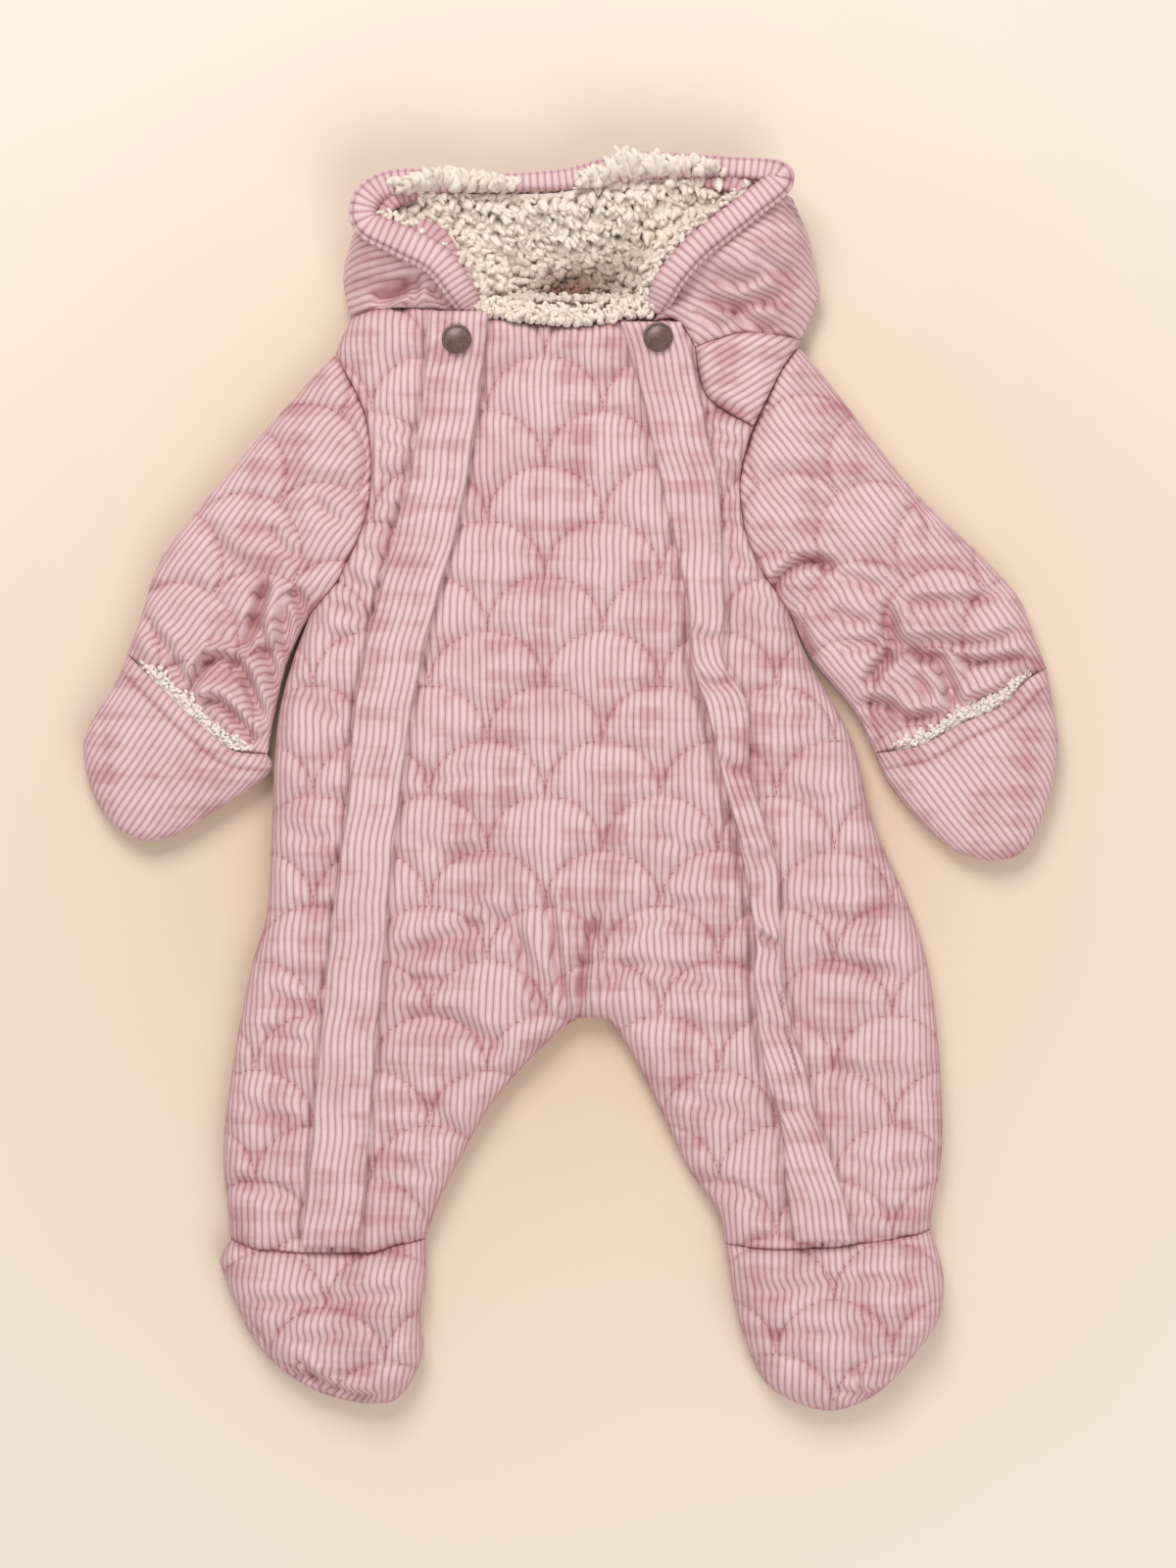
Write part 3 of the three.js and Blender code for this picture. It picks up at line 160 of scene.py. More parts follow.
PILE_NECK_BOTTOM = ((35, 557.5), (25, 557.6), (5, 554.2), (-15, 554.2), (-45, 558.3), (-50, 560))

# Middle of the rim band: x, y, z and width.
BAND_PATH = (
    (-54, 561, 24, 10), (-59, 568.5, 33, 13), (-71, 584, 41, 14), (-90, 594, 43.3, 14), (-107, 603, 42.3, 12),
    (-106, 616, 43, 12), (-90, 624.5, 39, 11), (-50, 624.6, 33, 8), (-10, 626.3, 32, 9),
    (30, 633, 33, 12.5), (75, 632.2, 36, 9), (102, 626.5, 41.5, 12), (86, 611, 42, 12.5),
    (72.5, 600.5, 43, 12.5), (58.5, 589, 42.8, 12.5), (47, 576, 38, 12.5), (42.5, 568.5, 33.5, 12), (38, 560, 24, 9),
)

# The band's facing, where the band turns in: beside the left cheek and in both upper corners.
FACING_PATHS = (
    ((-90, 598, 38, 4), (-80, 600, 40, 10), (-71, 594, 40, 13), (-65, 583, 37, 12), (-61, 572, 31, 9), (-60, 564, 25, 4)),
    ((-102, 600, 37, 4), (-98, 610, 38, 8), (-90, 617, 37, 8), (-78, 619, 33, 4)),
    ((64, 624, 33, 4), (76, 624, 35, 8), (88, 618, 37, 8), (95, 610, 38, 4)),
)

# Height, left edge and right edge of each placket strip.
PLACKET_LEFT_ROWS = (
    (560.5, -76, -45.5), (508, -80, -51), (456, -91, -60.5), (406, -104, -73.5), (360, -113.5, -84.5),
    (310, -117, -91), (270, -122.5, -96), (220, -128, -100), (84.5, -140.5, -111),
)
PLACKET_RIGHT_ROWS = (
    (555, 21.5, 52), (526, 30, 60.5), (496, 37.5, 66.5), (468, 43, 71.5), (438, 50.5, 73),
    (408, 56.5, 74.5), (382, 57.5, 74), (360, 65, 86), (324, 73.5, 87.5), (285, 83, 100),
    (256, 88, 102), (238, 90.5, 103.5), (218, 89.5, 104), (174, 95, 116), (150, 102.5, 121),
    (113, 106, 134), (87, 110, 140),
)
SNAP_SPOTS = {"snap_left": (-61.5, 545.5), "snap_right": (40.5, 546.5)}


class Face(Enum):
    """Which face of a panel shows."""

    UPPER = "upper"
    LOWER = "lower"


def smooth_step(value: np.ndarray | float) -> np.ndarray | float:
    """Soft step from 0 at 0 to 1 at 1."""
    share = np.clip(value, 0, 1)
    return share * share * (3 - 2 * share)


def height_at(table: Sequence[Spot], y: np.ndarray) -> np.ndarray:
    """Height from a table of y and height, softly blended between its rows.

    Args:
        table: rows of y and height, in order of y.
        y: places along the garment.

    Returns:
        One height for each place.
    """
    ys = np.array([row[0] for row in table], float)
    heights = np.array([row[1] for row in table], float)
    above = np.clip(np.searchsorted(ys, y, side="right"), 1, len(ys) - 1)
    share = smooth_step((y - ys[above - 1]) / (ys[above] - ys[above - 1]))
    return heights[above - 1] + (heights[above] - heights[above - 1]) * share


def smooth_line(points: Line, step: float) -> np.ndarray:
    """Evenly spaced points on the smooth curve through some points.

    Args:
        points: the curve's own points, in two or more dimensions.
        step: the distance between the points to give.

    Returns:
        The spaced points, with both ends.
    """
    p = np.asarray(points, float)
    last = len(p) - 1
    t = np.linspace(0, last, last * 24 + 1)
    i = np.minimum(t.astype(int), last - 1)
    w = (t - i)[:, None]
    before, here, there, after = p[np.maximum(i - 1, 0)], p[i], p[i + 1], p[np.minimum(i + 2, last)]
    v0, v1 = (there - before) / 2, (after - here) / 2
    curve = (2 * here - 2 * there + v0 + v1) * w**3 + (3 * there - 3 * here - 2 * v0 - v1) * w**2 + v0 * w + here
    run = np.concatenate([[0], np.cumsum(np.linalg.norm(np.diff(curve, axis=0), axis=1))])
    count = max(1, round(run[-1] / step))
    stops = np.linspace(0, run[-1], count + 1)
    return np.column_stack([np.interp(stops, run, curve[:, k]) for k in range(p.shape[1])])


def join_seams(seams: Sequence[Line], step: float) -> np.ndarray:
    """One closed outline, anticlockwise, from seams that follow each other in either direction.

    Args:
        seams: the seams in order round the outline.
        step: the distance between points.

    Returns:
        The outline's points, without the first one again at the end.
    """
    first, second = seams[0], seams[1]
    reached = first[0] if first[-1] in (second[0], second[-1]) else first[-1]
    loop = []
    for seam in seams:
        points = smooth_line(seam, step)
        forward = tuple(seam[0]) == tuple(reached)
        loop.append((points if forward else points[::-1])[:-1])
        reached = seam[-1] if forward else seam[0]
    joined = np.vstack(loop)
    after = np.roll(joined, -1, axis=0)
    area = float((joined[:, 0] * after[:, 1] - after[:, 0] * joined[:, 1]).sum())
    return joined if area > 0 else joined[::-1]


def inset(loop: np.ndarray, amount: float) -> np.ndarray:
    """The outline moved inwards, so that neighbours stay apart at their seam."""
    before = loop - np.roll(loop, 1, axis=0)
    after = np.roll(loop, -1, axis=0) - loop
    before /= np.linalg.norm(before, axis=1)[:, None]
    after /= np.linalg.norm(after, axis=1)[:, None]
    normal = np.column_stack([-before[:, 1] - after[:, 1], before[:, 0] + after[:, 0]])
    normal /= np.maximum(np.linalg.norm(normal, axis=1), 1e-9)[:, None]
    widening = np.maximum(0.5, normal[:, 1] * before[:, 0] - normal[:, 0] * before[:, 1])
    return loop + normal * (amount / widening)[:, None]


def is_inside(loop: np.ndarray, xy: np.ndarray) -> np.ndarray:
    """For each point, whether it is inside the closed outline."""
    inside = np.zeros(len(xy), bool)
    x, y = xy[:, 0], xy[:, 1]
    for (ax, ay), (bx, by) in zip(loop, np.roll(loop, 1, axis=0)):
        if ay != by:
            inside ^= ((ay > y) != (by > y)) & (x < (bx - ax) * (y - ay) / (by - ay) + ax)
    return inside


def nearest_on(chain: np.ndarray, xy: np.ndarray) -> tuple[np.ndarray, np.ndarray, np.ndarray]:
    """Distance to a chain of straight stretches.

    Args:
        chain: the chain's points.
        xy: the points to measure from.

    Returns:
        The distances, signed shares along the chain from 0 to 1, and the vectors from the nearest spots.
    """
    best = np.full(len(xy), 1e12)
    along = np.zeros(len(xy))
    away = np.zeros((len(xy), 2))
    last = len(chain) - 1
    for i in range(last):
        stretch = chain[i + 1] - chain[i]
        t = np.clip(((xy - chain[i]) @ stretch) / max(stretch @ stretch, 1e-12), 0, 1)
        gap = xy - chain[i] - t[:, None] * stretch
        far = (gap * gap).sum(1)
        closer = far < best
        best[closer] = far[closer]
        along[closer] = (i + t[closer]) / last
        away[closer] = gap[closer]
    return np.sqrt(best), along, away


def rounding(away: np.ndarray, reach: float) -> np.ndarray:
    """Rounding of an upper face towards a folded side, from 0 at the side to 1 on the flat."""
    share = np.minimum(away / reach, 1)
    return np.sqrt(1 - (1 - share) ** SIDE_SQUARENESS)


@dataclass(frozen=True)
class Fold:
    """One crease: a soft valley along a line, with a roll of cloth on its left."""

    line: Line
    depth: float
    width: float
    roll: float = 0.0

    def relief(self, xy: np.ndarray) -> np.ndarray:
        """Height that the crease adds at each point.

        Args:
            xy: points of the plan.

        Returns:
            The heights, below zero in the valley and above it on the roll.
        """
        chain = smooth_line(self.line, 3.0) if len(self.line) > 2 else np.asarray(self.line, float)
        reach = 4.5 * self.width
        near = np.all((xy > chain.min(0) - reach) & (xy < chain.max(0) + reach), axis=1)
        out = np.zeros(len(xy))
        if not near.any():
            return out
        far, along, gap = nearest_on(chain, xy[near])
        run = np.gradient(chain, axis=0)
        at = np.clip(np.rint(along * (len(chain) - 1)).astype(int), 0, len(chain) - 1)
        side = np.sign(run[at, 0] * gap[:, 1] - run[at, 1] * gap[:, 0])
        ends = smooth_step(along / 0.22 + 0.08) * smooth_step((1 - along) / 0.22 + 0.08)
        valley = -1.35 * self.depth * np.exp(-((far / self.width) ** 2))
        roll = 1.9 * self.roll * np.exp(-(((side * far - 1.9 * self.width) / (1.3 * self.width)) ** 2))
        out[near] = ends * (valley + roll)
        return out


def fold_relief(folds: Sequence[Fold], xy: np.ndarray) -> np.ndarray:
    """Height that all the creases add at each point."""
    return sum((fold.relief(xy) for fold in folds), np.zeros(len(xy)))


@dataclass(frozen=True)
class Quilt:
    """Clamshell quilting: rows of scallops, each row shifted by half a scallop."""

    x: float
    y: float
    turn: float = 0.0
    half: float = 29.5
    rise: float = 28.0

    def own(self, xy: np.ndarray) -> np.ndarray:
        """Points of the plan in the quilting's own directions."""
        c, s = math.cos(self.turn), math.sin(self.turn)
        x, y = xy[:, 0] - self.x, xy[:, 1] - self.y
        return np.column_stack([c * x + s * y, -s * x + c * y])

    def plan(self, own: np.ndarray) -> np.ndarray:
        """Points in the quilting's own directions in the plan."""
        c, s = math.cos(self.turn), math.sin(self.turn)
        return np.column_stack([self.x + c * own[:, 0] - s * own[:, 1], self.y + s * own[:, 0] + c * own[:, 1]])

    def distance(self, xy: np.ndarray) -> np.ndarray:
        """Distance from each point to the nearest stitch line."""
        across, up = self.own(xy).T
        nearest = np.full(len(xy), 1e9)
        row = np.floor(up / self.rise)
        for r in (row - 1, row, row + 1):
            shift = np.abs(r % 2) * self.half
            column = np.round((across - shift) / (2 * self.half))
            x = (across - shift - 2 * self.half * column) / self.half
            y = up / self.rise - r
            below = np.hypot((1 - np.abs(x)) * self.half, y * self.rise)
            ring = np.abs(np.hypot(x, np.maximum(y, 0)) - 1) * self.rise
            nearest = np.minimum(nearest, np.where(y < 0, below, ring))
        return nearest

    def relief(self, xy: np.ndarray) -> np.ndarray:
        """Height of the quilting at each point: round puffs with a sharp line between them."""
        gap = self.distance(xy)
        return -2.6 * (1 - smooth_step(gap / 9)) - 1.3 * np.exp(-((gap / 1.3) ** 2))

    def stitch_spots(self, reach: float, step: float) -> tuple[np.ndarray, np.ndarray]:
        """Places and directions of stitches on the scallops within a reach of the quilting's start.

        Args:
            reach: how far from the start the scallops go.
            step: the distance from stitch to stitch.

        Returns:
            Points of the plan, and unit vectors along the stitch line.
        """
        angles = np.arange(step / self.half / 2, math.pi, step / self.half)
        spots, ways = [], []
        rows, columns = math.ceil(reach / self.rise), math.ceil(reach / (2 * self.half))
        for row in range(-rows, rows + 1):
            shift = self.half * (row % 2)
            for column in range(-columns, columns + 1):
                centre = 2 * self.half * column + shift
                spots.append(np.column_stack([centre + self.half * np.cos(angles), self.rise * (row + np.sin(angles))]))
                ways.append(np.column_stack([-self.half * np.sin(angles), self.rise * np.cos(angles)]))
        start = self.plan(np.zeros((1, 2)))
        along = self.plan(np.vstack(ways)) - start
        return self.plan(np.vstack(spots)), along / np.linalg.norm(along, axis=1)[:, None]


@dataclass(frozen=True)
class Ribs:
    """The way that the corduroy's ribs run on a panel: turned from upright, anticlockwise, and wandering a little."""

    turn: float = 0.0
    sway: float = 0.8

    def own(self, xy: np.ndarray) -> np.ndarray:
        """Points of the plan as across and along the ribs."""
        c, s = math.cos(self.turn), math.sin(self.turn)
        return np.column_stack([c * xy[:, 0] + s * xy[:, 1], -s * xy[:, 0] + c * xy[:, 1]])

    def wander(self, across: np.ndarray, along: np.ndarray) -> np.ndarray:
        """How far the ribs stray sideways."""
        slow = np.sin(along / 19 + across / 47) * 0.7 + np.sin(across / 33 + 0.7)
        quick = np.sin(along / 5.3 + across / 19 + 1.3) * np.sin(across / 13 + along / 41)
        return self.sway * (slow + 0.36 * quick + 0.1 * np.sin(along / 2.6 + across / 9))

    def phase(self, xy: np.ndarray) -> np.ndarray:
        """Number of the rib at each point, whole in the groove between two ribs."""
        across, along = self.own(xy).T
        return (across + self.wander(across, along)) / RIB

    def lattice(self, outline: np.ndarray, across_step: float, along_step: float) -> np.ndarray:
        """Points over an outline's box in lines that follow the ribs.

        Args:
            outline: the outline to cover.
            across_step: the distance between lines.
            along_step: the distance between points on a line.

        Returns:
            Points of the plan.
        """
        own = self.own(outline)
        low, high = own.min(0), own.max(0)
        lines = np.arange(math.floor(low[0] / across_step) - 2, math.ceil(high[0] / across_step) + 3) * across_step
        target, along = (a.ravel() for a in np.meshgrid(lines, np.arange(low[1], high[1] + along_step, along_step)))
        across = target.copy()
        for _ in range(4):
            across = target - self.wander(across, along)
        c, s = math.cos(self.turn), math.sin(self.turn)
        return np.column_stack([c * across - s * along, s * across + c * along])


def rib_profile(phase: np.ndarray) -> np.ndarray:
    """Height of a rib's round back, from 0 in the groove to 1 on top."""
    from_top = np.abs(2 * (phase - np.floor(phase)) - 1)
    return 1 - from_top**3


def excess_length(away: np.ndarray, height: float = 15.0) -> np.ndarray:
    """How much longer the cloth is than its plan, from a rounded side to the flat, at each distance from the side."""
    steps = np.linspace(0, SIDE_ROUNDING, 161)
    rise = height * rounding(steps, SIDE_ROUNDING)
    run = np.concatenate([[0], np.cumsum(np.hypot(np.diff(steps), np.diff(rise)) - np.diff(steps))])
    return run[-1] - np.interp(away, steps, run)


@dataclass
class Ground:
    """Points of a panel with what its height depends on."""

    xy: np.ndarray
    away: np.ndarray
    side: np.ndarray
    inward: np.ndarray

    @property
    def y(self) -> np.ndarray:
        """Places along the garment."""
        return self.xy[:, 1]


@dataclass
class Look:
    """Height of a face without its ribs, how much of the ribs' height it has, and how much painted shade and nap
    darkening it has.
    """

    height: np.ndarray
    ribs: np.ndarray | float = 1.0
    painted_shade_and_nap: np.ndarray | float = 0.0
    shift: np.ndarray | float = 0.0


def sides_of(seams: Sequence[Line]) -> list[np.ndarray]:
    """Chains of points along the seams where front and back meet."""
    return [smooth_line(seam, 8.5) for seam in seams]


def measure(xy: np.ndarray, outline: np.ndarray, sides: Sequence[np.ndarray]) -> Ground:
    """The points with their distance from the outline and from the garment's sides.

    Args:
        xy: points of the plan.
        outline: the panel's outline.
        sides: chains of the sides.

    Returns:
        The measured points.
    """
    away = nearest_on(np.vstack([outline[::3], outline[:1]]), xy)[0]
    best = np.full(len(xy), 1e9)
    inward = np.zeros((len(xy), 2))
    for chain in sides:
        low, high = chain.min(0) - 26, chain.max(0) + 26
        near = np.all((xy > low) & (xy < high), axis=1)
        if not near.any():
            continue
        far, _, gap = nearest_on(chain, xy[near])
        closer = np.zeros(len(xy), bool)
        closer[near] = far < best[near]
        best[closer] = far[far < best[near]]
        inward[closer] = gap[closer[near]]
    inward /= np.maximum(np.linalg.norm(inward, axis=1), 1e-6)[:, None]
    return Ground(xy, away, np.minimum(best, 500), inward)


class Place:
    """Where the plan of the cut lies in the row's frame."""

    def __init__(self) -> None:
        """Reads the place of one snap cap, which the plan gives too."""
        low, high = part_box("snap_left")
        x, y = SNAP_SPOTS["snap_left"]
        self.shift = np.array([(low.x + high.x) / 2 / MM - x, (low.y + high.y) / 2 / MM - y, 0.0])

    def metres(self, points: np.ndarray) -> np.ndarray:
        """Points of the plan, x, y and z in millimetres, in the row's frame in metres."""
        return (points + self.shift) * MM


PLACE = Place()


def triangulate(outline: np.ndarray, inner: np.ndarray) -> tuple[np.ndarray, np.ndarray, np.ndarray]:
    """Triangles over an outline and the points inside it.

    Args:
        outline: the closed outline.
        inner: the points inside it.

    Returns:
        The points, the triangles, anticlockwise, and for each outline point its place among the points.
    """
    every = np.vstack([outline, inner])
    count = len(outline)
    edges = [(i, (i + 1) % count) for i in range(count)]
    spots, _, faces, sources, _, _ = delaunay_2d_cdt([Vector(p) for p in every.tolist()], edges, [], 1, 1e-7)
    points = np.array([tuple(p) for p in spots])
    triangles = np.array([f for f in faces if len(f) == 3], int)
    a, b, c = points[triangles[:, 0]], points[triangles[:, 1]], points[triangles[:, 2]]
    turn = (b[:, 0] - a[:, 0]) * (c[:, 1] - a[:, 1]) - (b[:, 1] - a[:, 1]) * (c[:, 0] - a[:, 0])
    triangles[turn < 0] = triangles[turn < 0][:, ::-1]
    triangles = triangles[np.abs(turn) > 1e-9]
    place = np.zeros(count, int)
    for at, ids in enumerate(sources):
        for i in ids:
            if i < count:
                place[i] = at
    return points, triangles, place


@dataclass
class MeshParts:
    """Points and faces of one piece, with the ribs' coordinates and the painted shade and nap darkening of each point.
    """

    points: list[np.ndarray] = field(default_factory=list)
    faces: list[np.ndarray] = field(default_factory=list)
    ribs: list[np.ndarray] = field(default_factory=list)
    painted_shade_and_nap: list[np.ndarray] = field(default_factory=list)
    count: int = 0

    def add(self, points: np.ndarray, faces: np.ndarray, ribs: np.ndarray | None = None,
            painted_shade_and_nap: np.ndarray | float = 0.0) -> int:
        """Adds some points and faces.

        Args:
            points: x, y and z in millimetres.
            faces: triangles that number the points from 0.
            ribs: the rib's number and the place along it, for each point.
            painted_shade_and_nap: how much painted shade and nap darkening each point has.

        Returns:
            The number of the first point that was added.
        """
        first = self.count
        self.points.append(points)
        self.faces.append(faces + first)
        self.ribs.append(np.zeros((len(points), 2)) if ribs is None else ribs)
        self.painted_shade_and_nap.append(np.broadcast_to(painted_shade_and_nap, len(points)))
        self.count += len(points)
        return first

    def add_faces(self, faces: np.ndarray) -> None:
        """Adds triangles between points that are there already."""
        self.faces.append(faces)

    def make(self, name: str) -> bpy.types.Object:
        """The finished piece, in metres in the row's frame.

        Args:
            name: the piece's name.

        Returns:
            The object, with its place in its mesh.
        """
        points = PLACE.metres(np.vstack(self.points)).astype(np.float32)
        faces = np.vstack(self.faces).astype(np.int32)
        mesh = bpy.data.meshes.new(name)
        mesh.vertices.add(len(points))
        mesh.vertices.foreach_set("co", points.ravel())
        mesh.loops.add(faces.size)
        mesh.loops.foreach_set("vertex_index", faces.ravel())
        mesh.polygons.add(len(faces))
        mesh.polygons.foreach_set("loop_start", np.arange(0, faces.size, 3, dtype=np.int32))
        mesh.polygons.foreach_set("loop_total", np.full(len(faces), 3, np.int32))
        ribs = mesh.uv_layers.new(name="ribs")
        ribs.data.foreach_set("uv", np.vstack(self.ribs).astype(np.float32)[faces.ravel()].ravel())
        painted_shade_and_nap = mesh.attributes.new("painted_shade_and_nap", "FLOAT", "POINT")
        painted_shade_and_nap.data.foreach_set("value", np.concatenate(self.painted_shade_and_nap).astype(np.float32))
        mesh.validate()
        mesh.update()
        mesh.shade_smooth()
        piece = bpy.data.objects.new(name, mesh)
        bpy.context.scene.collection.objects.link(piece)
        return piece


@dataclass
class Panel:
    """A panel of cloth: a wall between its upper and its lower face, the face that shows in fine ribs."""

    node: str
    seams: Sequence[Line]
    upper: Callable[[Ground], Look]
    lower: Callable[[Ground], Look]
    ribs: Ribs
    sides: Sequence[np.ndarray]
    shown: Face = Face.UPPER
    along_step: float = ALONG_RIB
    hidden_step: float = 9.0
    rib_height: float = RIB_HEIGHT

    def outline(self) -> np.ndarray:
        """The panel's outline, clear of its neighbours."""
        return inset(join_seams(self.seams, 1.3), SEAM_GAP / 2)

    def face(self, outline: np.ndarray, look: Callable[[Ground], Look], fine: bool) -> tuple:
        """One face of the panel.

        Args:
            outline: the panel's outline.
            look: gives the face's height.
            fine: whether the face has ribs.

        Returns:
            Points, triangles, the outline's places, rib coordinates and the painted shade and nap darkening.
        """
        across = RIB / RIB_SAMPLES if fine else self.hidden_step
        along = self.along_step if fine else self.hidden_step
        lattice = self.ribs.lattice(outline, across, along)
        coarse = outline[::2]
        lattice = lattice[is_inside(coarse, lattice)]
        clear = nearest_on(np.vstack([coarse, coarse[:1]]), lattice)[0]
        plan, triangles, place = triangulate(outline, lattice[clear > 0.6 * min(across, 1.2)])
        ground = measure(plan, outline, self.sides)
        shape = look(ground)
        own = self.ribs.own(plan)
        outward = -(ground.inward @ np.array([math.cos(self.ribs.turn), math.sin(self.ribs.turn)]))
        number = self.ribs.phase(plan) + outward * excess_length(ground.side) / RIB
        number = number + np.broadcast_to(shape.shift, len(plan)) / RIB
        height = np.broadcast_to(shape.height, len(plan)).astype(float)
        if fine:
            rib = self.rib_height * shape.ribs * (rib_profile(number) - 0.6)
            height = height + rib * (1 if self.shown is Face.UPPER else -1)
        return np.column_stack([plan, height]), triangles, place, np.column_stack([number, own[:, 1] / RIB]), shape.painted_shade_and_nap

    def build(self) -> bpy.types.Object:
        """The panel as one closed piece."""
        outline = self.outline()
        upper = self.face(outline, self.upper, self.shown is Face.UPPER)
        lower = self.face(outline, self.lower, self.shown is Face.LOWER)
        top_rim = upper[0][upper[2]]
        low_rim = lower[0][lower[2]]
        lower[0][lower[2], 2] = np.minimum(low_rim[:, 2], top_rim[:, 2] - 1)
        parts = MeshParts()
        first = parts.add(upper[0], upper[1], upper[3], upper[4])
        second = parts.add(lower[0], lower[1][:, ::-1], lower[3], lower[4])
        top, low = upper[2] + first, lower[2] + second
        top_next, low_next = np.roll(top, -1), np.roll(low, -1)
        parts.add_faces(np.column_stack([top, low, low_next]))
        parts.add_faces(np.column_stack([top, low_next, top_next]))
        LOG.info("%s: %d points", self.node, parts.count)
        return parts.make(f"{self.node}_cloth")

    def cut(self) -> tuple[float, float, float]:
        """Width across the ribs, length along them and area of the cut, in metres and square metres."""
        outline = self.outline()
        own = self.ribs.own(outline)
        after = np.roll(own, -1, axis=0)
        area = abs(float((own[:, 0] * after[:, 1] - after[:, 0] * own[:, 1]).sum())) / 2
        width, length = own.max(0) - own.min(0)
        return width * MM, length * MM, area * MM * MM


def linear(code: str) -> tuple[float, float, float, float]:
    """The linear colour of an sRGB hex code."""
    parts = [int(code[i : i + 2], 16) / 255 for i in (1, 3, 5)]
    red, green, blue = (c / 12.92 if c <= 0.04045 else ((c + 0.055) / 1.055) ** 2.4 for c in parts)
    return red, green, blue, 1.0


def add_node(tree: bpy.types.NodeTree, kind: str, settings: dict | None = None, inputs: dict | None = None,
             ) -> bpy.types.Node:
    """Adds a node to a material.

    Args:
        tree: the material's nodes.
        kind: the node's type.
        settings: the node's own properties.
        inputs: for each input, its value or the socket that feeds it.

    Returns:
        The new node.
    """
    node = tree.nodes.new(kind)
    for name, value in (settings or {}).items():
        setattr(node, name, value)
    for name, value in (inputs or {}).items():
        if isinstance(value, bpy.types.NodeSocket):
            tree.links.new(value, node.inputs[name])
        else:
            node.inputs[name].default_value = value
    return node


def set_stops(ramp: bpy.types.Node, stops: Sequence[tuple[float, str]]) -> None:
    """Gives a colour ramp its colours.

    Args:
        ramp: the ramp's node.
        stops: places from 0 to 1 with their hex colours.
    """
    band = ramp.color_ramp
    while len(band.elements) < len(stops):
        band.elements.new(0.5)
    for element, (place, code) in zip(band.elements, stops):
        element.position = place
        element.color = linear(code)


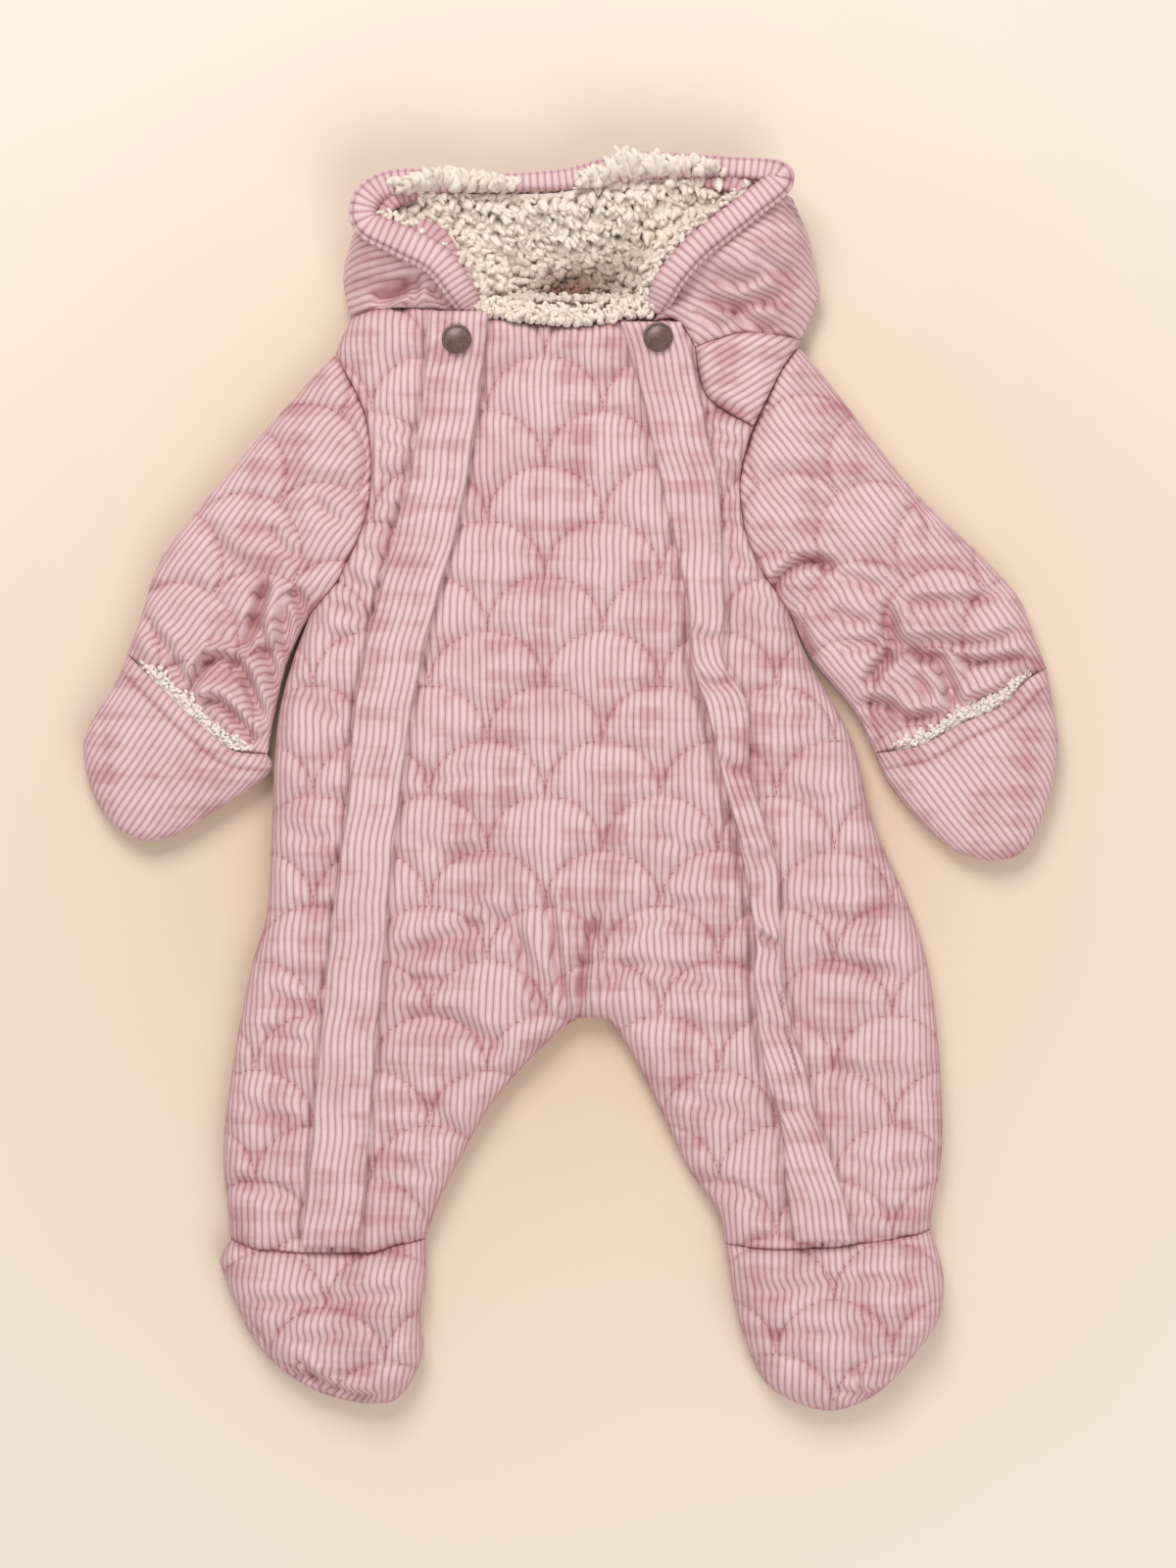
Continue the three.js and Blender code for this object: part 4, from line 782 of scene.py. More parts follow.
@dataclass(frozen=True)
class Corduroy:
    """Wide-wale cotton corduroy: woven, with cut pile in round ribs, brushed and dyed dusty pink.

    The brushed pile scatters light at its edges, so it has a sheen. The ramp across each rib paints shade into the
    groove and a highlight on the rib's top, partly the ground weave's own darker colour; creases, seams and quilting
    lines get painted shade, and random patches of nap are darker.
    """

    name: str = "corduroy_dusty_pink"
    # Rib colours, from painted shade in the groove over the flank to a painted highlight on the top; partly the ground
    # weave's own darker colour.
    groove: str = "#AB8285"
    flank: str = "#CDA7A8"
    back: str = "#DABABB"
    # Tint multiplied in by random nap patches and by painted shade in creases, seams and quilting lines.
    nap_and_shade_darkening: str = "#D8B5B7"
    groove_width: float = 0.24
    fibre_mm: float = 0.5
    patch_mm: float = 26.0

    def make(self) -> bpy.types.Material:
        """The material."""
        material = bpy.data.materials.new(self.name)
        material.use_nodes = True
        tree = material.node_tree
        tree.nodes.clear()
        ribs = add_node(tree, "ShaderNodeUVMap", {"uv_map": "ribs"}).outputs["UV"]
        axes = add_node(tree, "ShaderNodeSeparateXYZ", inputs={0: ribs})
        half = add_node(tree, "ShaderNodeMath", {"operation": "PINGPONG"}, {0: axes.outputs["X"], 1: 0.5})
        cross = add_node(tree, "ShaderNodeMath", {"operation": "MULTIPLY"}, {0: half.outputs[0], 1: 2.0})
        place = add_node(tree, "ShaderNodeTexCoord").outputs["Object"]
        edge_noise = add_node(tree, "ShaderNodeTexNoise", inputs={"Vector": place, "Scale": 1 / (1.3 * MM), "Detail": 2.0})
        jitter = add_node(
            tree, "ShaderNodeMath", {"operation": "MULTIPLY_ADD"},
            {0: edge_noise.outputs["Fac"], 1: 0.16, 2: -0.08},
        )
        ragged = add_node(tree, "ShaderNodeMath", {"operation": "ADD"}, {0: cross.outputs[0], 1: jitter.outputs[0]})
        # Painted shade in the groove and a painted highlight on the rib's top, across each rib.
        shade = add_node(tree, "ShaderNodeValToRGB", inputs={"Fac": ragged.outputs[0]})
        set_stops(shade, ((0.04, self.groove), (self.groove_width, self.flank), (0.7, self.back), (1.0, "#DFC3C2")))
        patch = add_node(
            tree, "ShaderNodeTexNoise", inputs={"Vector": place, "Scale": 1 / (self.patch_mm * MM), "Detail": 3.0},
        )
        patchy = add_node(tree, "ShaderNodeMapRange", inputs={0: patch.outputs["Fac"], 1: 0.45, 2: 0.75, 3: 0.0, 4: 0.35})
        # Painted shade of creases, seams and quilting lines, stored on the mesh, added to the random nap patches.
        painted_shade_and_nap = add_node(tree, "ShaderNodeAttribute", {"attribute_name": "painted_shade_and_nap"})
        nap_and_shade_darkening = add_node(
            tree, "ShaderNodeMath", {"operation": "ADD", "use_clamp": True},
            {0: patchy.outputs[0], 1: painted_shade_and_nap.outputs["Fac"]},
        )
        lifted = add_node(
            tree, "ShaderNodeMix", {"data_type": "RGBA", "blend_type": "MULTIPLY"},
            {0: nap_and_shade_darkening.outputs[0], 6: shade.outputs["Color"], 7: linear(self.nap_and_shade_darkening)},
        )
        fibres = add_node(
            tree, "ShaderNodeTexNoise", inputs={"Vector": place, "Scale": 1 / (self.fibre_mm * MM), "Detail": 2.0},
        )
        speckle = add_node(tree, "ShaderNodeMapRange", inputs={0: fibres.outputs["Fac"], 1: 0.3, 2: 0.7, 3: 0.93, 4: 1.07})
        coloured = add_node(
            tree, "ShaderNodeMix", {"data_type": "RGBA", "blend_type": "MULTIPLY"},
            {0: 1.0, 6: lifted.outputs[2], 7: speckle.outputs[0]},
        )
        bump = add_node(
            tree, "ShaderNodeBump", inputs={"Height": fibres.outputs["Fac"], "Strength": 0.35, "Distance": 0.25 * MM},
        )
        shader = add_node(
            tree, "ShaderNodeBsdfPrincipled",
            inputs={
                "Base Color": coloured.outputs[2], "Normal": bump.outputs["Normal"], "Roughness": 0.9,
                "IOR": 1.46, "Specular IOR Level": 0.25, "Sheen Weight": 0.35, "Sheen Roughness": 0.45,
                "Sheen Tint": linear("#F4E2E4"),
            },
        )
        add_node(tree, "ShaderNodeOutputMaterial", inputs={"Surface": shader.outputs[0]})
        return material


@dataclass(frozen=True)
class Pile:
    """Polyester pile, knitted and brushed: curly locks or short plush, off-white, soft and matt.

    Light goes a little way into real locks, so shadows between them stay warm; here that warm shade is painted,
    toward the deep colour at the locks' roots, under the plush and in the hood's hollow.
    """

    name: str
    light: str
    # The colour of the painted shade at the locks' roots and in the hollow.
    deep: str
    grain_mm: float

    def make(self) -> bpy.types.Material:
        """The material."""
        material = bpy.data.materials.new(self.name)
        material.use_nodes = True
        tree = material.node_tree
        tree.nodes.clear()
        place = add_node(tree, "ShaderNodeTexCoord").outputs["Object"]
        painted_shade_and_nap = add_node(tree, "ShaderNodeAttribute", {"attribute_name": "painted_shade_and_nap"})
        noise = add_node(
            tree, "ShaderNodeTexNoise", inputs={"Vector": place, "Scale": 1 / (self.grain_mm * MM), "Detail": 4.0},
        )
        # Random grain, plus the painted shade stored on the mesh, picks the colour between light and deep.
        mixed = add_node(
            tree, "ShaderNodeMath", {"operation": "MULTIPLY_ADD", "use_clamp": True},
            {0: noise.outputs["Fac"], 1: 0.2, 2: painted_shade_and_nap.outputs["Fac"]},
        )
        colour = add_node(tree, "ShaderNodeValToRGB", inputs={"Fac": mixed.outputs[0]})
        set_stops(colour, ((0.0, self.light), (1.0, self.deep)))
        fibres = add_node(tree, "ShaderNodeTexNoise", inputs={"Vector": place, "Scale": 1 / (0.5 * MM), "Detail": 3.0})
        bump = add_node(
            tree, "ShaderNodeBump", inputs={"Height": fibres.outputs["Fac"], "Strength": 0.5, "Distance": 0.4 * MM},
        )
        shader = add_node(
            tree, "ShaderNodeBsdfPrincipled",
            inputs={
                "Base Color": colour.outputs["Color"], "Normal": bump.outputs["Normal"], "Roughness": 0.95,
                "IOR": 1.5, "Specular IOR Level": 0.2, "Sheen Weight": 0.4, "Sheen Roughness": 0.5,
                "Sheen Tint": linear("#FFF6E8"),
            },
        )
        add_node(tree, "ShaderNodeOutputMaterial", inputs={"Surface": shader.outputs[0]})
        return material


@dataclass(frozen=True)
class SnapLacquer:
    """Brass snap cap, stamped and lacquered dark brown, a little worn in random patches to a lighter brown."""

    name: str = "snap_lacquer_brown"
    colour: str = "#573D37"
    worn: str = "#6F554D"

    def make(self) -> bpy.types.Material:
        """The material."""
        material = bpy.data.materials.new(self.name)
        material.use_nodes = True
        tree = material.node_tree
        tree.nodes.clear()
        place = add_node(tree, "ShaderNodeTexCoord").outputs["Object"]
        noise = add_node(tree, "ShaderNodeTexNoise", inputs={"Vector": place, "Scale": 1 / (1.5 * MM), "Detail": 4.0})
        colour = add_node(tree, "ShaderNodeValToRGB", inputs={"Fac": noise.outputs["Fac"]})
        set_stops(colour, ((0.35, self.colour), (0.8, self.worn)))
        rough = add_node(tree, "ShaderNodeMapRange", inputs={0: noise.outputs["Fac"], 1: 0.3, 2: 0.7, 3: 0.34, 4: 0.5})
        shader = add_node(
            tree, "ShaderNodeBsdfPrincipled",
            inputs={
                "Base Color": colour.outputs["Color"], "Roughness": rough.outputs[0], "Metallic": 0.2,
                "Coat Weight": 0.3, "Coat Roughness": 0.25,
            },
        )
        add_node(tree, "ShaderNodeOutputMaterial", inputs={"Surface": shader.outputs[0]})
        return material


@dataclass(frozen=True)
class Thread:
    """Spun polyester sewing thread, twisted and dyed to match, with a soft gloss."""

    name: str = "thread_pink"
    colour: str = "#B07A80"

    def make(self) -> bpy.types.Material:
        """The material."""
        material = bpy.data.materials.new(self.name)
        material.use_nodes = True
        tree = material.node_tree
        tree.nodes.clear()
        place = add_node(tree, "ShaderNodeTexCoord").outputs["Object"]
        noise = add_node(tree, "ShaderNodeTexNoise", inputs={"Vector": place, "Scale": 1 / (0.6 * MM), "Detail": 2.0})
        colour = add_node(tree, "ShaderNodeValToRGB", inputs={"Fac": noise.outputs["Fac"]})
        set_stops(colour, ((0.3, "#94646B"), (0.7, self.colour)))
        shader = add_node(
            tree, "ShaderNodeBsdfPrincipled",
            inputs={"Base Color": colour.outputs["Color"], "Roughness": 0.6, "IOR": 1.5, "Sheen Weight": 0.2},
        )
        add_node(tree, "ShaderNodeOutputMaterial", inputs={"Surface": shader.outputs[0]})
        return material


@dataclass
class Finishes:
    """Every finish of the suit, made once."""

    corduroy: bpy.types.Material
    sherpa: bpy.types.Material
    plush: bpy.types.Material
    snap: bpy.types.Material
    thread: bpy.types.Material

    @classmethod
    def make(cls) -> "Finishes":
        """All the materials."""
        return cls(
            Corduroy().make(),
            Pile("sherpa_pile_cream", "#F3E6D8", "#8E6C5A", 8.0).make(),
            Pile("plush_pile_cream", "#F6EEE7", "#CDB9A9", 3.0).make(),
            SnapLacquer().make(),
            Thread().make(),
        )


def settle(piece: bpy.types.Object, material: bpy.types.Material, slot: str, *nodes: str) -> bpy.types.Object:
    """Gives a piece its finish, its body and the solids that it stands for.

    Args:
        piece: the piece.
        material: its finish.
        slot: a slot name; not used.
        nodes: the solids that it stands for.

    Returns:
        The piece.
    """
    piece.data.materials.clear()
    piece.data.materials.append(material)
    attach(piece, "root")
    if nodes:
        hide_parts(*nodes)
    LOG.info("%s: %d faces", piece.name, len(piece.data.polygons))
    return piece


def ripple(xy: np.ndarray, size: float, seed: float) -> np.ndarray:
    """A low uneven swell of the cloth, about 1 high, with waves about a size long."""
    x, y = xy[:, 0] / size, xy[:, 1] / size
    return (
        np.sin(2.1 * x + 3.3 * y + seed) * np.sin(3.7 * y - 1.3 * x + 2 * seed)
        + 0.6 * np.sin(4.9 * x - 1.9 * y + 3 * seed) * np.sin(2.3 * y + 4.1 * x + seed)
    )


def underside(ground: Ground) -> np.ndarray:
    """Height of the under face: on the floor, and rising in a round towards the sides."""
    share = np.minimum(ground.side / UNDERSIDE_ROUNDING, 1)
    return (SEAM_HEIGHT - RIM_HEIGHT) * (1 - np.sqrt(1 - (1 - share) ** 2))


def under_look(ground: Ground) -> Look:
    """The under face, its ribs pressed flat where it lies on the floor."""
    height = underside(ground)
    free = smooth_step(height / 2.0)
    return Look(height + 0.25 + 0.25 * free, 0.4 + 0.6 * free)


def seam_dip(away: np.ndarray) -> np.ndarray:
    """How far the cloth dips towards a seam, with the tight line of the seam itself."""
    return -SEAM_DIP * (1 - smooth_step(away / SEAM_DIP_WIDTH)) - 1.7 * np.exp(-((away / 1.2) ** 2))


def edge_of(rows: Sequence[tuple[float, float, float]], column: int, y: np.ndarray) -> np.ndarray:
    """A placket's left edge (column 1) or right edge (column 2) at heights along the garment."""
    ordered = sorted(rows)
    return np.interp(y, [row[0] for row in ordered], [row[column] for row in ordered])


def under_placket(xy: np.ndarray) -> np.ndarray:
    """From 0 beside the plackets to 1 under them."""
    cover = np.zeros(len(xy))
    for rows in (PLACKET_LEFT_ROWS, PLACKET_RIGHT_ROWS):
        left, right = edge_of(rows, 1, xy[:, 1]), edge_of(rows, 2, xy[:, 1])
        ends = np.minimum(xy[:, 1] - min(row[0] for row in rows), max(row[0] for row in rows) - xy[:, 1])
        inside = np.minimum(np.minimum(xy[:, 0] - left, right - xy[:, 0]), ends)
        cover = np.maximum(cover, smooth_step((inside + 0.4) / 1.6))
    return cover


def beside_placket(xy: np.ndarray) -> np.ndarray:
    """How far the cloth lies pressed down along the plackets' edges, most along the right one's inner edge."""
    down = np.zeros(len(xy))
    for rows, deep in ((PLACKET_LEFT_ROWS, 0.0), (PLACKET_RIGHT_ROWS, 3.0)):
        left, right = edge_of(rows, 1, xy[:, 1]), edge_of(rows, 2, xy[:, 1])
        lifted = smooth_step((440 - xy[:, 1]) / 50) * smooth_step((xy[:, 1] - 140) / 60)
        within = (xy[:, 1] > min(row[0] for row in rows)) & (xy[:, 1] < max(row[0] for row in rows))
        for out, depth, reach in ((left - xy[:, 0], 1.8 + deep * lifted, 1.9 + 0.25 * deep), (xy[:, 0] - right, 1.8, 1.9)):
            down = down + within * depth * np.exp(-(((out - 0.5 * reach) / reach) ** 2))
    return down


def nap(xy: np.ndarray, seed: float) -> np.ndarray:
    """Patches of brushed-down nap, wider across the ribs than along them, from 0 to about 0.5."""
    swell = ripple(xy * [0.7, 1.5], 26, seed) + 0.5 * ripple(xy * [1, 2], 11, seed + 2)
    return 0.5 * smooth_step((swell + 0.1) / 1.5)


BODY_FOLDS = (
    Fold(((-20, 272), (-13, 250), (-10, 226), (-5, 198)), 3.0, 2.6, 0.9),
    Fold(((14, 262), (6, 240), (2, 218), (1, 198)), 2.8, 2.5, 0.8),
    Fold(((-31, 268), (-30, 242), (-24, 216), (-12, 199)), 1.9, 2.6, 0.5),
    Fold(((-62, 262), (-44, 254), (-28, 236), (-14, 210)), 2.2, 3.6, 0.7),
    Fold(((78, 214), (46, 226), (24, 226), (8, 208)), 2.2, 3.8, 0.7),
    Fold(((58, 250), (34, 250), (16, 232)), 1.5, 3.4, 0.5),
    Fold(((-98, 231), (-70, 240), (-40, 250)), 2.4, 5.0, 0.9),
    Fold(((-92, 200), (-62, 197), (-34, 182)), 2.3, 5.5, 0.8),
    Fold(((-98, 214), (-78, 220), (-60, 216)), 1.3, 3.2, 0.5),
    Fold(((-160, 216), (-146, 208), (-130, 201)), 2.0, 4.5, 0.8),
    Fold(((-166, 196), (-150, 190), (-134, 186)), 1.4, 3.4, 0.5),
    Fold(((112, 238), (140, 226), (168, 223)), 2.2, 5.0, 0.9),
    Fold(((112, 262), (132, 252), (158, 250)), 1.4, 3.6, 0.5),
    Fold(((-88, 468), (-95, 446), (-101, 424)), 2.0, 4.0, 0.8),
    Fold(((77, 470), (78, 448), (84, 424)), 1.8, 3.6, 0.6),
    Fold(((-146, 376), (-134, 364), (-120, 350)), 1.8, 4.2, 0.6),
    Fold(((60, 122), (78, 112), (98, 104)), 2.0, 4.5, 0.8),
    Fold(((-178, 120), (-162, 113), (-144, 108)), 2.0, 4.2, 0.8),
    Fold(((-106, 509), (-95, 503), (-82, 499)), 1.2, 2.8, 0.5),
    Fold(((-104, 496), (-94, 491), (-81, 488)), 1.0, 2.4, 0.4),
    Fold(((-104, 480), (-94, 476), (-83, 475)), 1.2, 2.6, 0.4),
    Fold(((-105, 466), (-96, 461), (-87, 459)), 0.9, 2.4, 0.4),
    Fold(((-107, 453), (-98, 449), (-90, 448)), 1.2, 2.8, 0.5),
    Fold(((-112, 441), (-104, 435), (-93, 433)), 1.1, 2.6, 0.4),
    Fold(((-120, 429), (-110, 421), (-98, 418)), 1.3, 3.0, 0.5),
    Fold(((-128, 418), (-118, 408), (-104, 403)), 1.4, 3.2, 0.6),
    Fold(((-136, 404), (-126, 396), (-110, 392)), 1.3, 3.4, 0.5),
    Fold(((66, 516), (76, 511), (86, 508)), 1.0, 2.6, 0.4),
    Fold(((66, 502), (75, 496), (85, 494)), 1.1, 2.4, 0.4),
    Fold(((68, 487), (76, 483), (84, 483)), 0.9, 2.4, 0.4),
    Fold(((70, 472), (77, 467), (83, 467)), 1.2, 2.6, 0.5),
    Fold(((73, 455), (79, 450), (86, 450)), 0.9, 2.4, 0.4),
    Fold(((75, 440), (84, 433), (92, 430)), 1.2, 3.0, 0.5),
    Fold(((78, 424), (90, 416), (102, 410)), 1.2, 3.0, 0.5),
    Fold(((80, 407), (94, 399), (110, 396)), 1.1, 3.2, 0.4),
    Fold(((-86, 330), (-70, 322), (-52, 324)), 0.9, 3.6, 0.4),
    Fold(((-84, 292), (-64, 284), (-44, 290)), 1.2, 4.0, 0.5),
    Fold(((36, 296), (58, 286), (76, 290)), 1.0, 3.8, 0.4),
    Fold(((30, 268), (52, 260), (80, 262)), 1.3, 4.0, 0.5),
    Fold(((-92, 160), (-74, 152), (-56, 138)), 1.4, 4.0, 0.6),
    Fold(((-96, 130), (-84, 124), (-70, 116)), 1.3, 3.6, 0.5),
    Fold(((-176, 160), (-160, 152), (-140, 150)), 1.3, 3.8, 0.5),
    Fold(((124, 180), (146, 172), (176, 172)), 1.3, 4.2, 0.5),
    Fold(((134, 130), (156, 122), (182, 126)), 1.4, 4.0, 0.6),
    Fold(((138, 106), (158, 101), (176, 104)), 1.3, 3.4, 0.6),
    Fold(((52, 166), (66, 156), (88, 152)), 1.4, 4.0, 0.6),
    Fold(((-152, 300), (-138, 292), (-122, 294)), 1.2, 3.8, 0.5),
    Fold(((104, 320), (122, 312), (142, 316)), 1.2, 3.8, 0.5),
    Fold(((92, 366), (106, 358), (124, 356)), 1.1, 3.8, 0.5),
    Fold(((-177, 66), (-162, 57), (-136, 57), (-111, 59), (-91, 60), (-82, 64)), 2.4, 4.4, 0.9),
    Fold(((-160, 44), (-138, 38), (-112, 42), (-92, 36)), 1.2, 4.0, 0.5),
    Fold(((-153, 24.5), (-144, 18.5), (-133.5, 17), (-123, 11.5), (-111, 8.6), (-98, 9)), 4.2, 2.4, 0.8),
    Fold(((-143, 28), (-138, 22), (-133.7, 17.4)), 2.6, 2.2, 0.6),
    Fold(((80, 68), (99, 61.5), (121, 64.5), (143, 66), (165, 65), (183, 59)), 2.4, 4.4, 0.9),
    Fold(((92, 34), (112, 42), (132, 40), (150, 46), (172, 42)), 1.1, 4.0, 0.5),
    Fold(((126, 12), (138, 10), (145, 9), (157.6, 12), (169, 18), (175, 30)), 3.0, 2.4, 0.6),
    Fold(((141, 22), (143, 15), (144.5, 8)), 3.0, 2.0, 0.8),
)
SLEEVE_FOLDS_LEFT = (
    Fold(((-158, 428), (-162, 412), (-167, 397), (-172, 387)), 5.2, 3.4, 1.6),
    Fold(((-150, 412), (-149.5, 400), (-148.7, 390), (-144, 383)), 3.8, 3.0, 1.4),
    Fold(((-146, 420), (-142.5, 413), (-139, 403)), 4.4, 2.8, 1.0),
    Fold(((-160, 404), (-160.5, 392), (-155, 378), (-149, 367)), 4.2, 2.8, 1.4),
    Fold(((-197.6, 363), (-191.5, 380), (-182.5, 385), (-171.6, 378.5), (-165.5, 364.5), (-158, 348)), 4.6, 2.8, 1.6),
    Fold(((-198, 360), (-185.5, 363), (-177.7, 357), (-170, 348), (-163, 339)), 4.4, 2.6, 1.4),
    Fold(((-210, 388), (-204, 378), (-199, 370), (-197.6, 358)), 3.0, 3.2, 1.0),
    Fold(((-172, 387), (-178, 392), (-190, 392)), 2.4, 3.6, 0.8),
    Fold(((-222, 402), (-214, 394), (-206, 386)), 1.6, 3.0, 0.6),
    Fold(((-160, 452), (-150, 440), (-140, 434)), 1.8, 3.6, 0.6),
    Fold(((-138, 470), (-128, 458), (-118, 452)), 1.2, 3.0, 0.5),
    Fold(((-186, 446), (-178, 438), (-168, 432)), 1.2, 3.4, 0.5),
    Fold(((-158, 378), (-154, 368), (-152, 356)), 2.6, 2.6, 0.9),
)
SLEEVE_FOLDS_RIGHT = (
    Fold(((99, 414), (101.5, 424), (113, 432.5), (124.7, 434), (131.4, 426)), 4.4, 2.8, 0.9),
    Fold(((107, 407), (114.8, 394), (119.8, 382)), 5.4, 3.0, 1.2),
    Fold(((158, 415), (159.5, 401), (161, 390), (153, 380), (144.6, 369)), 4.2, 3.2, 1.4),
    Fold(((159.5, 396), (174.5, 386), (184.4, 384), (189.4, 371), (194.4, 356)), 4.4, 3.0, 1.4),
    Fold(((139.7, 359), (149, 361.5), (158, 361), (168, 354), (181, 356), (191, 354)), 3.8, 2.6, 1.2),
    Fold(((158, 411.5), (178, 412.5), (201, 414), (221, 417)), 2.2, 3.0, 1.0),
    Fold(((161, 394), (183, 393), (204, 392.5), (229, 399)), 3.0, 3.0, 1.2),
    Fold(((188, 384), (207.6, 382.5), (221, 384), (231, 384)), 3.2, 2.4, 1.0),
    Fold(((196, 357), (201, 362.6), (217.6, 367.5), (224, 373)), 2.8, 2.6, 0.8),
    Fold(((167, 465), (174, 459), (182, 451)), 2.0, 2.8, 0.8),
    Fold(((128, 410), (138, 404), (150, 402)), 2.4, 3.4, 1.0),
    Fold(((132, 388), (144, 390), (156, 392)), 2.2, 3.4, 0.8),
    Fold(((131, 426), (142, 424), (156, 418)), 2.4, 3.4, 0.8),
    Fold(((170, 376), (176, 370), (180, 360)), 2.6, 2.6, 0.8),
)
HOOD_FOLDS = (
    Fold(((-78, 577), (-90, 572), (-106, 565)), 4.2, 3.2, 1.6),
    Fold(((-80, 574), (-83, 568), (-86, 560)), 3.0, 2.6, 1.0),
    Fold(((-76, 573), (-71, 568), (-66, 562)), 3.0, 2.6, 0.8),
    Fold(((-84, 572), (-94, 567), (-100, 561)), 3.0, 2.8, 1.0),
    Fold(((60, 567), (78, 563), (92, 566), (106, 568)), 4.6, 3.6, 1.6),
    Fold(((66, 578), (80, 574), (94, 578)), 2.8, 3.4, 1.0),
    Fold(((76, 563), (88, 556), (102, 551)), 3.8, 3.4, 1.2),
    Fold(((58, 562), (66, 556), (78, 552)), 2.4, 3.0, 0.8),
    Fold(((88, 590), (100, 582), (112, 580)), 1.8, 3.4, 0.8),
)
PLACKET_FOLDS = (
    Fold(((56, 400), (66, 393), (76, 396)), 2.0, 3.2, 0.8),
    Fold(((57, 376), (68, 370), (80, 372)), 2.4, 3.0, 0.9),
    Fold(((70, 334), (80, 326), (90, 330)), 2.0, 3.2, 0.8),
    Fold(((82, 290), (92, 282), (102, 286)), 1.8, 3.2, 0.8),
    Fold(((87, 247), (96, 240), (107, 236)), 3.4, 2.6, 1.4),
    Fold(((92, 200), (102, 194), (112, 196)), 1.5, 3.2, 0.6),
    Fold(((98, 160), (108, 154), (120, 156)), 1.5, 3.2, 0.6),
)
PILE_FOLDS = (
    Fold(((-46, 598), (-26, 584), (-4, 572), (16, 564)), 4.5, 4.5, 1.5),
    Fold(((30, 606), (36, 594), (28, 582)), 3.0, 4.5, 1.0),
    Fold(((-22, 618), (-18, 604), (-8, 592)), 2.5, 4.0, 1.0),
)
FRONT_QUILT = Quilt(-17, 454)
FOOT_QUILTS = {"left": Quilt(-128, 26), "right": Quilt(130, 30)}
BODY_SIDES = sides_of(
    (SIDE_LEFT, SIDE_RIGHT, INSEAM_LEFT, INSEAM_RIGHT, FOOT_LEFT, FOOT_RIGHT, SHOULDER_LEFT, SHOULDER_RIGHT),
)


def body_surface(side: np.ndarray, y: np.ndarray) -> np.ndarray:
    """Height of the front over the floor, without quilting and creases."""
    base = SEAM_HEIGHT + RIM_HEIGHT
    return base + (height_at(BODY_THICKNESS, y) - base) * rounding(side, SIDE_ROUNDING)


def neck_rise(y: np.ndarray) -> np.ndarray:
    """How far the front lifts off the back towards the neck."""
    return 3 * smooth_step((y - 530) / 25)


